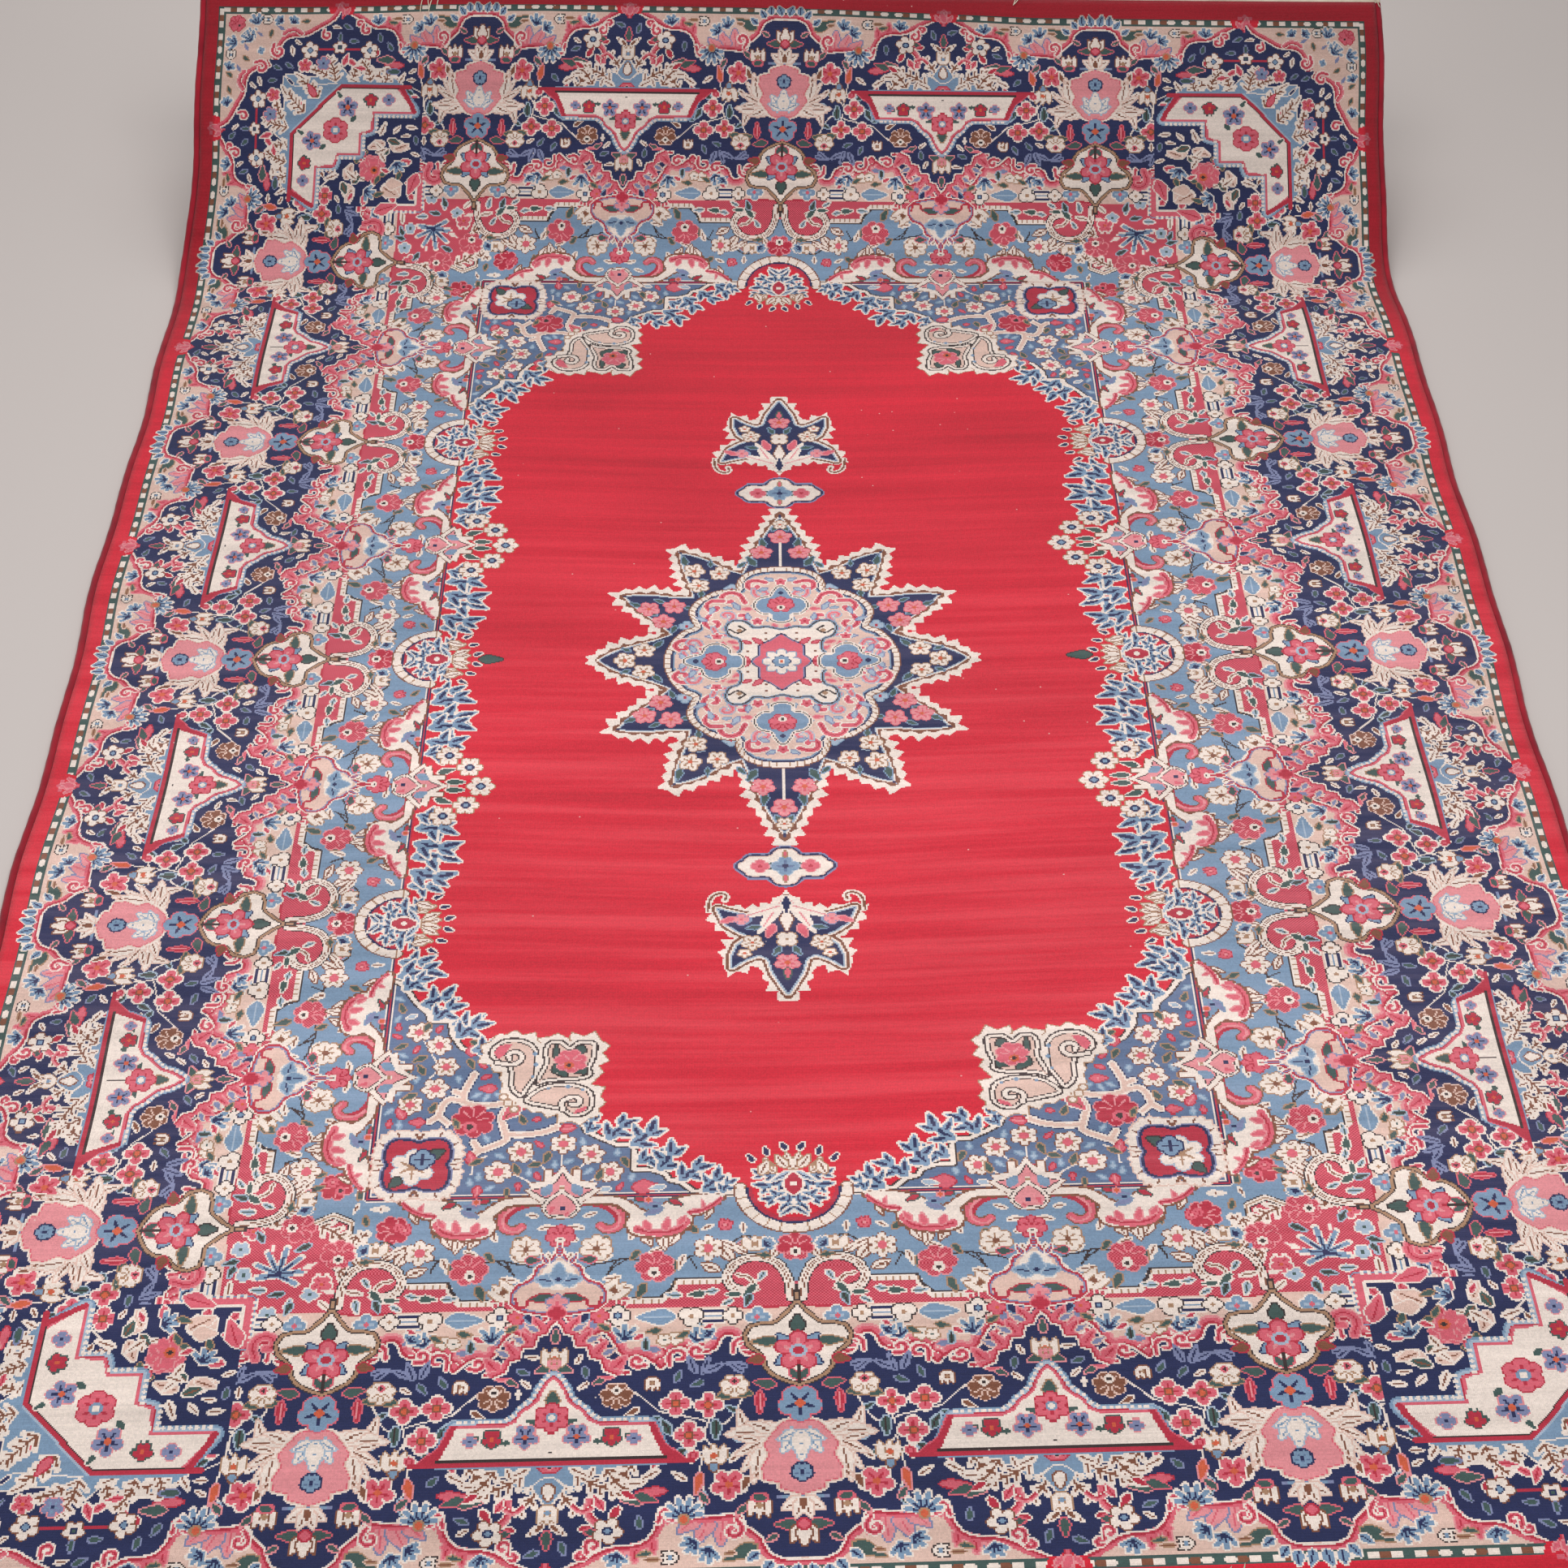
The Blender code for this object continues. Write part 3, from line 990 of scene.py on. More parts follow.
CORNER_OUTSIDE = (
    (Feather(pairs=4), ((-96, 84, 50, 40), (-60, 92, 20, 40), (4, 90, 12, 48), (34, 60, 40, 48))),
    (Feather(pairs=3), ((-24, 88, -20, 34), (-84, 84, -20, 30), (20, 100, 60, 30))),
    (IVORY_LEAF, ((-40, 84, 60, 24), (-110, 88, -30, 20), (60, 92, 60, 24))),
    (PINK_LEAF, ((-30, 120, 60, 22), (-8, 118, -20, 24), (-48, 112, 80, 20), (16, 128, 90, 16))),
    (Flower(LAVENDER, PINK, NAVY, 5, 0.5, 1.6, SKY), ((28, 122, 0, 13),)),
    (PINK_BLOSSOM, ((62, 118, 0, 13),)),
    (WHITE_FLOWER, ((-54, 146, 10, 16), (54, 146, 10, 16))),
    (Flower(IVORY, BROWN, GREEN, 5, 0.5, 1.6, None, NAVY), ((0, 152, 0, 12),)),
    (Leaf(GREEN, LAVENDER), ((-110, 108, 90, 22), (0, 164, 0, 14))),
    (Leaf(SKY, ROSE, NAVY), ((-60, 78, 85, 16),)),
)
CORNER_INNER = (
    (Curl(ROSE, PINK, 9.0, 0.8, CRIMSON), ((-172, -62, 160, 16),)),
    (Leaf(ROSE, IVORY, CRIMSON, 0.5), ((-150, -78, 160, 42), (-138, -56, 100, 26))),
    (Leaf(BEIGE, IVORY, BROWN, 0.6), ((-26, -100, 190, 34), (-34, -108, 160, 26), (-90, -22, 110, 30))),
    (Leaf(GREEN, IVORY, BROWN, 0.5), ((-16, -96, 200, 24), (-98, -34, 130, 22))),
    (Leaf(BEIGE, IVORY, BROWN, 0.7), ((-104, -90, 210, 34), (-98, -96, 180, 28))),
    (Carnation(ROSE, PINK, ORANGE), ((-70, -66, 20, 21),)),
    (IVORY_LEAF, ((-82, -8, -20, 26), (-90, -40, 40, 24), (-56, -92, 60, 22), (-40, -76, 160, 20))),
    (FAN, ((-112, -58, 200, 18),)),
    (PINK_LEAF, ((-50, -56, 60, 18), (-76, -100, 20, 16), (-116, -36, 300, 16))),
    (GREEN_LEAF, ((-60, -40, 90, 18), (-120, -76, 160, 18), (-84, -84, 300, 16))),
)
CORNER_GUARD = (
    (Carnation(ROSE, CRIMSON, ROSE), ((196, 196, 45, 15),)),
    (FAN, ((158, 196, 10, 18), (164, 168, 45, 20))),
    (Bell(IVORY, DARK, SKY), ((128, 204, 90, 18),)),
    (Leaf(LAVENDER, BEIGE), ((144, 172, 60, 16), (104, 184, 60, 16))),
)


@dataclass
class Border:
    """The outer guard, the navy border and the inner guard of the rug."""

    art: Drawing
    bands: Bands = field(default_factory=Bands)
    side_palmettes: Tuple[float, ...] = (0.0, 530.0, 1026.0)
    side_cartouches: Tuple[float, ...] = (264.0, 795.0)
    end_palmettes: Tuple[float, ...] = (0.0, 532.0)
    end_cartouches: Tuple[float, ...] = (272.0,)
    corner: Tuple[float, float] = (784.0, 1270.0)
    bead: float = 12.2
    longest: float = 300.0

    def units(self, with_corner: bool = False) -> Iterator[HalfUnit]:
        """Find the half repeats between a palmette's axis and a cartouche's.

        Args:
            with_corner: whether those that end in the corner belong to them.

        Returns:
            The half repeats, one after another.
        """
        u, v = self.corner
        for place, palmettes, cartouches, last in (
            (self.bands.on_side, self.side_palmettes, self.side_cartouches, v),
            (self.bands.on_end, self.end_palmettes, self.end_cartouches, u),
        ):
            for palmette in palmettes:
                for cartouche in (*cartouches, last):
                    length = abs(palmette - cartouche)
                    if length < self.longest and (with_corner or cartouche < last):
                        flip = 1.0 if cartouche > palmette else -1.0
                        yield HalfUnit(place(palmette, flip), length, cartouche == last)

    def lay_grounds(self) -> None:
        """Knot the plain grounds of the bands, from the red edge inward."""
        out = self.bands.out(self.art)
        for reach, yarn in (
            (math.inf, RED), (self.bands.red, BEIGE), (self.bands.outer_guard, NAVY),
            (self.bands.inner_guard, BEIGE), (self.bands.rose, CRIMSON), (self.bands.sky, SKY),
        ):
            self.art.put(out < reach, yarn)

    def thread_beads(self) -> None:
        """Knot the outermost row of white, green and brown beads."""
        middle = (self.bands.red + self.bands.beads) / 2.0
        out = self.bands.out(self.art)
        self.art.put((out < self.bands.red) & (out > self.bands.beads - 1.0), GREEN)
        for run, place in ((self.bands.end + middle, self.bands.on_side),
                           (self.bands.side + middle, self.bands.on_end)):
            for index, along in enumerate(np.arange(0.0, run, self.bead)):
                if index % 4 == 1:
                    self.art.line(place(along), [(-2.0, middle), (2.0, middle)], 9.0, BROWN)
                if index % 2 == 0:
                    self.art.line(place(along), [(-2.0, middle), (2.0, middle)], 9.4, IVORY)

    def tip(self, spot: Spot) -> None:
        """Draw the rose tip that breaks the row of beads outside a cartouche.

        Args:
            spot: the cartouche's axis, on the middle line of the border.
        """
        art = self.art
        art.fill(spot, [(-26, 226), (-20, 205), (-8, 204), (0, 196), (8, 204), (20, 205), (26, 226)], RED)
        art.lines(spot, [(0, 200), (0, 219)], ((8.0, CRIMSON), (5.4, ROSE)))
        art.dots(spot, [(-8, 224), (0, 227), (8, 224)], 4.0, ROSE)

    def edges(self, unit: HalfUnit) -> None:
        """Draw the scrolled lines on both sides of the navy, over one half repeat.

        Args:
            unit: the half repeat, with its palmette's spot.
        """
        art, stretch, spot = self.art, unit.stretch, unit.palmette
        outer = bend([(x * stretch, y) for x, y in NAVY_OUTER])
        art.band(spot, outer, ((7.5, 6.0, ROSE),))
        art.plant(spot, OUTER_SCROLLS[:2], stretch)
        art.fill(spot, np.concatenate([outer, [(HALF_UNIT * stretch, 0), (0, 0)]]), NAVY)
        art.band(spot, outer, ((7.0, 4.0, ROSE), (4.4, 3.2, CRIMSON), (1.4, 2.6, IVORY)))
        art.plant(spot, OUTER_SCROLLS[2:], stretch)
        inner = bend([(x * stretch, y) for x, y in NAVY_INNER])
        if unit.in_corner:
            inner = inner[inner[:, 0] < 150.0 * stretch]
        art.band(spot, inner, ((-12.0, 5.0, PINK), (-8.0, 6.0, ROSE)))
        scrolls = [(motif, [place for place in places if not unit.in_corner or place[0] < 150.0])
                   for motif, places in INNER_SCROLLS]
        art.plant(spot, scrolls[2:], stretch)
        art.fill(spot, np.concatenate([inner, [(inner[-1][0], 0), (0, 0)]]), NAVY)
        art.band(spot, inner, ((-4.4, 3.2, CRIMSON), (-1.4, 2.6, IVORY)))
        art.plant(spot, scrolls[:2], stretch)

    def fill_unit(self, unit: HalfUnit) -> None:
        """Draw the flowers on both guards and on the navy, over one half repeat.

        Args:
            unit: the half repeat, with its palmette's spot.
        """
        art, stretch, spot = self.art, unit.stretch, unit.palmette
        art.plant(spot, OUTER_FLOWERS, stretch)
        near = [(motif, [place for place in places if not unit.in_corner or place[0] < 100.0])
                for motif, places in INNER_FLOWERS]
        art.plant(spot, near, stretch)
        for stem in BORDER_STEMS:
            art.stroke(spot, [(x * stretch, y) for x, y in stem], 2.2, IVORY)
        art.plant(spot, CLUSTER, stretch)

    def palmette(self, spot: Spot) -> None:
        """Draw the large palmette of the navy border, from its white shield outward.

        Args:
            spot: its axis, on the middle line of the border.
        """
        art = self.art
        art.line(spot, [(0, -112), (0, -147)], 9.0, DARK)
        art.line(spot, [(0, -112), (0, -145)], 6.0, TAN)
        shield = whole([(0, -130), (6, -121), (13, -113), (20, -105), (28, -101), (40, -101), (51, -98),
                        (56, -88), (53, -76),
                        (43, -68), (36, -58), (34, -46), (27, -36), (13, -28), (0, -23)])
        art.shape(spot, shield, IVORY, ((DARK, 6.6), (TAN, 5.2), (DARK, 1.4)))
        art.plant(spot, PALMETTE, sides=BOTH)
        shield_flower = Flower(ROSE, CRIMSON, CRIMSON, 5, 0.34, 2.2, PINK, PALE)
        shield_flower.draw(art, spot.at(0, -66, 180), 26.0)
        art.line(spot, [(0, -46), (0, -22)], 2.2, DARK)
        body = whole([(0, 26), (18, 30), (30, 42), (39, 56), (34, 70), (42, 86), (40, 100), (24, 104),
                      (22, 112), (0, 119)])
        art.shape(spot, body, PINK, ((IVORY, 5.0), (BEIGE, 3.0), (ROSE, 1.4)))
        iris = Leaf(IVORY, PALE, SKY, 0.5)
        art.plant(spot, ((iris, ((3, 40, 34, 32), (4, 40, 62, 24))),), sides=BOTH)
        iris.draw(art, spot.at(0, 38), 40.0)
        Flower(SKY, NAVY, NAVY, 5, 0.8, 2.4, DENIM).draw(art, spot.at(0, 92), 11.0)
        Flower(SKY, ROSE, ORANGE, 5, 0.74, 1.6, NAVY).draw(art, spot.at(0, 5), 24.0)
        art.line(spot, [(-25, 123), (25, 123)], 5.5, LAVENDER)
        art.line(spot, [(-22, 123), (22, 123)], 2.4, SKY)
        art.plant(spot, PALMETTE_TOP, sides=BOTH)

    def cartouche(self, spot: Spot, base: float) -> None:
        """Draw an ivory cartouche with its straight base outward and its tip inward.

        Args:
            spot: its axis, on the middle line of the border.
            base: half the length of its base.
        """
        art = self.art
        lens = whole([(0, 128), (12, 116), (34, 104), (46, 90), (64, 88), (78, 66), (0, 60)])
        art.soft(spot, lens, SKY, ((IVORY, 2.0),))
        art.plant(spot, CARTOUCHE_OUTSIDE, sides=BOTH)
        art.plant(spot, CARTOUCHE_BACK)
        body = whole([(0, -34), (6, -27), (11, -18), (15, -6), (23, 3), (33, 11), (39, 21), (52, 28),
                      (base - 16, 29),
                      (base, 68), (0, 68)])
        art.shape(spot, body, IVORY, ((SKY, 11.0), (PALE, 8.6), (CRIMSON, 4.6), (ROSE, 3.0)))
        edge = np.array(body[:9], float)
        for x, y in walk(edge, np.arange(3.0, run_along(edge)[-1], 7.5)):
            art.dots(spot, [(x + 4.0, y - 7.5), (-x - 4.0, y - 7.5)], 2.6, IVORY)
        wedge = ((base - 17, 26), (base - 10, 26), (base + 2, 52), (base + 22, 70), (base + 2, 74),
                 (base - 8, 68))
        for side in BOTH:
            art.shape(spot, [(side * x, y) for x, y in wedge], CRIMSON, ((ROSE, 1.6),))
            PINK_CURL.draw(art, spot.at(side * (base + 30), 74, side * -160, flip=-side), 5.0)
        art.fill(spot, body, IVORY)
        art.line(spot, [(-base - 32, 74.5), (base + 32, 74.5)], 5.6, CRIMSON)
        art.line(spot, [(-base - 2, 69), (base + 2, 69)], 3.6, DARK)
        art.plant(spot, CARTOUCHE_INSIDE, sides=BOTH)
        art.line(spot, [(0, 30), (0, 60)], 2.0, DARK)
        Leaf(GREEN, TAN, None, 0.7).draw(art, spot.at(0, 2, 180), 20.0)
        ROSETTE.draw(art, spot.at(0, 17), 19.0)

    def pendant(self, spot: Spot) -> None:
        """Draw what grows inward from a cartouche's tip: a lotus, a scrolled band and a beige shield.

        Args:
            spot: the cartouche's axis, on the middle line of the border.
        """
        art = self.art
        art.plant(spot, PENDANT, sides=BOTH)
        path = np.array(PENDANT_BAND, float)
        for side in BOTH:
            own = spot.at(0, 0, flip=side)
            art.fill(own, [*path, (70, -36), (0, -36)], NAVY)
            for depth, width, yarn in ((0.0, 7.0, ROSE), (1.6, 2.4, CRIMSON), (4.2, 2.4, IVORY)):
                art.line(own, beside(path, depth), width, yarn)
        shield = whole([(0, -210), (4, -199), (12, -191), (22, -185), (26, -173), (32, -167), (46, -161),
                        (52, -151),
                        (51, -140), (42, -132), (24, -128), (0, -124)])
        art.shape(spot, shield, BEIGE, ((IVORY, 7.0), (CRIMSON, 5.0), (LAVENDER, 2.0)))
        art.soft(spot, whole([(0, -198), (16, -186), (22, -172), (20, -160), (0, -158)]), IVORY)
        for side in BOTH:
            art.stroke(spot, [(side * 50, -146), (side * 46, -134), (side * 36, -134), (side * 34, -141)],
                       3.4, CRIMSON)
        art.plant(spot, PENDANT_HEART)

    def turn_corner(self) -> None:
        """Draw the corner: its bent cartouche, the guards that turn there and what grows between."""
        art, (u, v) = self.art, self.corner
        spot = Spot(u, v)
        arms = (spot, Spot(u, v, 90.0, -1.0))
        out = self.bands.out(art)
        art.put((art.u > u) & (art.v > v) & (out < self.bands.beads), BEIGE)
        arm = [(x - HALF_UNIT, y - (self.bands.end - v)) for x, y in NAVY_OUTER if x > 140.0]
        turned = [(-x, y) for x, y in arm[::-1]] + [(128, 130)]
        path = bend(turned)
        for own in arms:
            art.band(own, path, ((7.5, 6.0, ROSE),))
        for own in arms:
            art.fill(own, np.concatenate([path, [(128, 0), (0, 0)]]), NAVY)
            art.band(own, path, ((7.0, 4.0, ROSE), (4.4, 3.2, CRIMSON), (1.4, 2.6, IVORY)))
            art.plant(own, ((Curl(ROSE, IVORY, 6.0, 0.8, CRIMSON), ((122, 158, 165, 12),)),
                            (FLAME, ((72, 178, 75, 32),)), (PINK_CURL, ((30, 184, 165, 8),))))
            art.plant(own, CORNER_GUARD)
        art.fill(spot, [(-154, -140), (0, -140), (0, 0), (-154, 0)], NAVY)
        art.fill(spot, [(-154, -140), (-154, 60), (0, 60), (0, -140)], NAVY)
        steps = [(-92, -142), (-156, -142), (-156, -82)]
        art.lines(spot, steps, ((17.0, SKY), (13.0, CRIMSON), (11.0, ROSE)))
        art.line(spot, [(-92, -136), (-150, -136), (-150, -82)], 2.6, IVORY)
        for tick in np.arange(0.0, 60.0, 8.0):
            art.dots(spot, [(-94.0 - tick, -149.0), (-163.0, -84.0 - tick)], 2.6, IVORY)
        art.plant(spot, ((Leaf(ROSE, IVORY, CRIMSON, 0.6),
                          ((-146, -104, 60, 18), (-146, -126, 40, 16), (-112, -132, 20, 18))),))
        for own in arms:
            art.plant(own, CORNER_INNER)
        sky = [(-116, 78), (-84, 104), (-44, 104), (-26, 92), (0, 116), (40, 96), (96, 100), (78, 78),
               (78, -8), (-8, 78)]
        for own in arms:
            art.soft(own, sky, SKY, ((IVORY, 2.0),))
        for own in arms:
            art.line(own, [(-48, 148), (48, 148)], 4.5, CRIMSON)
            art.plant(own, CORNER_OUTSIDE)
            art.plant(own, ((Leaf(ROSE, CRIMSON), ((60, 40, 60, 26),)),))
        body = [(-42, -42), (-42, -4), (-64, 2), (-66, 36), (-138, 36), (-108, 76), (-8, 76), (76, -8),
                (76, -108),
                (36, -138), (36, -66), (2, -64), (-4, -42)]
        art.shape(spot, body, IVORY, ((SKY, 12.0), (PALE, 9.0), (CRIMSON, 5.0), (ROSE, 3.4)))
        base = [(-130, 80), (-8, 80), (80, -8), (80, -130)]
        art.line(spot, base, 8.0, CRIMSON)
        art.line(spot, [(-118, 77), (-9, 77), (77, -9), (77, -118)], 2.8, DARK)
        for own in arms:
            art.line(own, [(-140, 36), (-116, 78)], 8.0, CRIMSON)
            for tick in np.arange(0.0, 74.0, 7.5):
                art.dots(own, [(-66.0 - tick, 27.0)], 2.6, IVORY)
            for tick in np.arange(0.0, 34.0, 7.5):
                art.dots(own, [(-75.0, 28.0 - tick), (-51.0, -6.0 - tick)], 2.6, IVORY)
            art.plant(own, CORNER_INSIDE)
        ROSETTE.draw(art, spot, 23.0)

    def draw(self) -> None:
        """Draw the whole border."""
        units = list(self.units(with_corner=True))
        for unit in units:
            self.edges(unit)
        self.art.put(self.bands.out(self.art) > self.bands.red, RED)
        self.thread_beads()
        for place, tips in ((self.bands.on_side, (*self.side_cartouches, self.corner[1])),
                            (self.bands.on_end, (*self.end_cartouches, self.corner[0]))):
            for along in tips:
                self.tip(place(along))
        for unit in units:
            self.fill_unit(unit)
        self.turn_corner()
        for place, palmettes, cartouches, base in (
            (self.bands.on_side, self.side_palmettes, self.side_cartouches, 112.0),
            (self.bands.on_end, self.end_palmettes, self.end_cartouches, 122.0),
        ):
            for along in cartouches:
                self.pendant(place(along))
                self.cartouche(place(along), base)
            for along in palmettes:
                self.palmette(place(along))
        out = self.bands.out(self.art)
        inside = out > self.bands.rose
        self.art.strew(NAVY, inside & (out < 190.0), NAVY_STREW, 11)
        self.art.strew(BEIGE, inside & (out < self.bands.beads), GUARD_STREW, 12)


# Outlines and beds inside the border. Those of the corner, the spandrels and the medallion count from
# the rug's middle, the others from the spot that they are drawn at.
ROSE_STEPS = ((78, -168), (134, -168), (139, -154), (150, -142), (188, -142))
GROUND_FLOWERS = (
    (IVORY_LEAF, ((125, -202, 20, 20), (138, -222, 100, 18), (196, -174, 80, 19), (206, -204, 60, 18),
                  (250, -208, 30, 16), (186, -226, 200, 18), (66, -212, 120, 19), (238, -244, 100, 18),
                  (150, -212, 70, 16), (230, -160, 20, 18))),
    (GREEN_LEAF, ((112, -234, 150, 17), (176, -210, 30, 16), (140, -178, 200, 16), (28, -198, 100, 15),
                  (168, -164, 20, 22), (210, -230, 60, 14), (34, -224, 60, 14))),
    (Carnation(CRIMSON, PINK, IVORY), ((0, -212, 180, 20), (157, -187, 190, 21))),
    (Bell(ROSE, CRIMSON, PINK), ((80, -238, 200, 16),)),
    (Leaf(GREEN, PINK, None, 0.6), ((45, -212, 250, 18), (45, -212, 110, 18))),
    (Bell(IVORY, TAN, TAN, 1.4), ((45, -206, 180, 22),)),
    (DAISY, ((97, -211, 0, 18),)),
    (Flower(IVORY, TAN, BROWN, 7, 0.7, 1.8, TAN), ((223, -214, 180, 19),)),
    (Leaf(GREEN, ROSE, None, 0.5), ((223, -198, 90, 18),)),
    (FAN, ((34, -214, 240, 10),)),
)
GROUND_STEMS = (
    ((22, -214), (54, -228), (72, -218), (97, -212)), ((97, -212), (128, -194), (155, -188)),
    ((155, -188), (188, -198), (222, -192), (222, -208)), ((188, -198), (206, -184)),
    ((222, -192), (240, -184)), ((120, -200), (112, -184)), ((200, -196), (210, -178)),
)
ROSE_BAND = (
    (Leaf(GREEN, IVORY), ((100, -148, 85, 22), (44, -160, 40, 22), (60, -146, 90, 18))),
    (Leaf(PALE, IVORY, GREEN), ((128, -146, 95, 18), (86, -152, 80, 16), (34, -178, 30, 16),
                                (70, -138, 60, 14))),
)
SCROLL_LEAVES = (
    (Leaf(IVORY, BROWN, BROWN), ((70, -192, 150, 30), (54, -202, 130, 24), (84, -180, 110, 24),
                                 (26, -196, 200, 20))),
)
CORNER_ROSE = (
    (Fan(SKY, NAVY, 7, 220.0), ((600, 1092, 190, 36),)),
    (Feather(pairs=3), ((556, 1024, -60, 44), (520, 1070, 200, 40), (640, 1010, -80, 36),
                        (512, 1040, 20, 34))),
    (Feather(pairs=2, lean=0.4), ((530, 1090, -70, 34), (582, 1010, 170, 30))),
    (Flower(PALE, IVORY, GREEN, 5, 0.6, 1.6), ((648, 1056, 0, 11), (606, 1148, 0, 11), (640, 1092, 0, 9),
                                               (560, 1120, 0, 10))),
    (PINK_BLOSSOM, ((548, 1106, 0, 13), (636, 1030, 0, 12))),
    (DARK_LEAF, ((566, 1050, 60, 20), (622, 1046, 150, 18), (652, 1080, 20, 16), (590, 1118, 80, 18),
                 (636, 1120, 30, 16))),
    (Leaf(IVORY, ROSE), ((572, 1086, 240, 18), (530, 1118, 100, 18), (610, 1050, 0, 12))),
)
CORNER_SKY = (
    (Carnation(CRIMSON, PINK, ROSE), ((545, 965, 140, 20), (470, 1032, 60, 20))),
    (DAISY, ((588, 938, 0, 17),)),
    (IVORY_LEAF, ((478, 1000, 90, 20), (512, 962, 20, 20), (556, 912, 60, 16), (560, 880, 20, 18),
                  (600, 975, 40, 18))),
    (GREEN_LEAF, ((515, 985, 200, 20), (500, 1050, 20, 18), (560, 945, 80, 16), (575, 970, 250, 16))),
)
STAR_DAISIES = (
    (Leaf(GREEN, IVORY), ((8, -40, 180, 26), (26, -26, 160, 26), (44, -30, 140, 20))),
    (FIELD_DAISY, ((60, -40, 0, 18), (38, -70, 0, 18), (0, -88, 0, 19))),
)
ANTLERS = (
    ((340, 836), (370, 842), (390, 840), (404, 834), (418, 832), (426, 842), (430, 858), (440, 867)),
    ((402, 836), (400, 818), (390, 790)), ((402, 824), (412, 819)), ((430, 858), (418, 870)),
    ((345, 842), (353, 862), (348, 880), (346, 896), (364, 907), (380, 915), (386, 926)),
    ((376, 912), (384, 899)), ((347, 886), (328, 888), (300, 884), (283, 877)),
)
SPANDREL_STEMS = (
    ((464, 720), (448, 752), (436, 780), (446, 800), (437, 814)), ((466, 840), (470, 860)),
    ((274, 905), (275, 940)), ((240, 920), (252, 940), (262, 952)), ((326, 916), (300, 936), (290, 950)),
    ((352, 948), (330, 952), (312, 964)), ((217, 950), (232, 956), (244, 966)),
    ((384, 950), (380, 930), (366, 920)),
)
SPANDREL = (
    (DAISY, ((464, 720, 10, 16), (437, 742, 50, 16), (426, 778, 90, 16), (437, 814, 20, 17),
             (466, 840, 60, 16), (274, 903, 0, 16), (326, 915, 40, 17), (240, 920, 20, 16),
             (217, 948, 80, 16), (352, 946, 50, 17))),
    (Carnation(CRIMSON, PINK, ROSE), ((387, 866, 200, 25),)),
    (Leaf(ROSE, CRIMSON, PINK, 0.6), ((326, 848, 180, 22), (362, 814, 90, 20), (396, 760, 180, 20),
                                      (446, 868, 90, 18), (190, 972, 270, 32), (384, 934, 170, 20),
                                      (278, 880, 260, 18), (472, 862, 150, 18), (374, 968, 10, 16))),
    (GREEN_LEAF, ((452, 760, 60, 18), (452, 790, 150, 18), (404, 876, 150, 14), (478, 740, 60, 16),
                  (300, 934, 80, 16), (256, 940, 20, 18), (398, 735, 300, 16), (460, 822, 60, 18),
                  (440, 852, 200, 16), (290, 916, 20, 18), (202, 925, 340, 16), (232, 960, 200, 18),
                  (328, 950, 160, 18), (490, 800, 30, 14), (372, 926, 60, 16), (452, 704, 20, 16),
                  (340, 972, 0, 12))),
    (Leaf(PALE, IVORY), ((470, 690, 60, 14), (216, 974, 80, 16), (152, 972, 80, 18), (478, 775, 120, 14))),
)
SPRAYS = (
    (490, 650, 226, 48, 1), (466, 674, 246, 56, -1), (448, 700, 222, 52, 1), (424, 706, 262, 46, -1),
    (418, 730, 226, 56, 1),
    (396, 752, 246, 46, -1),
    (246, 886, 196, 36, -1), (222, 898, 216, 52, 1), (194, 908, 228, 56, -1), (186, 934, 246, 44, 1),
    (160, 948, 210, 56, -1), (136, 964, 226, 52, 1), (108, 982, 222, 48, -1), (84, 984, 206, 30, 1),
)
EDGE_SPRAYS = ((70, 180, 50, 1), (96, 196, 66, -1), (122, 172, 70, 1), (150, 192, 70, -1),
               (178, 176, 62, 1), (204, 186, 44, -1))
CURLED_LEAVES = (
    ((241, 737), (262, 735), (272, 745), (282, 735), (298, 736), (304, 752), (302, 772), (310, 795),
     (312, 808), (296, 802), (260, 799), (244, 792), (246, 780), (241, 762)),
    ((330, 828), (322, 812), (313, 792), (312, 770), (315, 750), (325, 737), (342, 731), (360, 735),
     (371, 748), (372, 760), (362, 771), (350, 776), (346, 790), (346, 805), (341, 820)),
    ((326, 832), (310, 815), (290, 807), (265, 807), (247, 815), (241, 828), (242, 848), (252, 858),
     (268, 859), (278, 849), (290, 847), (304, 843), (318, 840)),
)
LEAF_CURLS = (
    ((364, 771), (346, 774), (336, 770), (333, 760), (340, 753), (350, 757), (348, 765)),
    ((277, 850), (278, 836), (266, 828), (257, 832), (259, 841), (268, 840)),
)
LEAF_FILL = (
    (Leaf(GREEN, DARK, None, 0.8), ((256, 742, 20, 17), (288, 772, 330, 26), (250, 780, 60, 16))),
    (Leaf(GREEN, DARK, None, 0.3), ((289, 764, 180, 24),)),
    (Carnation(ROSE, PINK, ORANGE), ((270, 768, 200, 19),)),
    (Dot(SKY, SKY), ((317, 756, 0, 3), (315, 774, 0, 3), (318, 794, 0, 3), (254, 816, 0, 3),
                     (272, 811, 0, 3), (296, 814, 0, 3))),
    (Leaf(ROSE, IVORY, BROWN, 0.6), ((332, 842, 40, 30),)),
    (Dot(IVORY, TAN), ((346, 838, 0, 7), (352, 828, 0, 6), (338, 848, 0, 6))),
)
ACANTHUS_BELLY = ((24, 2), (60, 3), (78, 10), (92, 22), (104, 28), (116, 26), (150, 29), (149, 50),
                  (130, 61), (106, 63), (84, 58),
                  (77, 42), (82, 32), (72, 20), (60, 13), (24, 11))
ACANTHUS_LEAF = ((192, 3), (182, 16), (170, 27), (150, 33), (116, 30), (110, 22), (122, 14), (140, 6),
                 (160, 2))
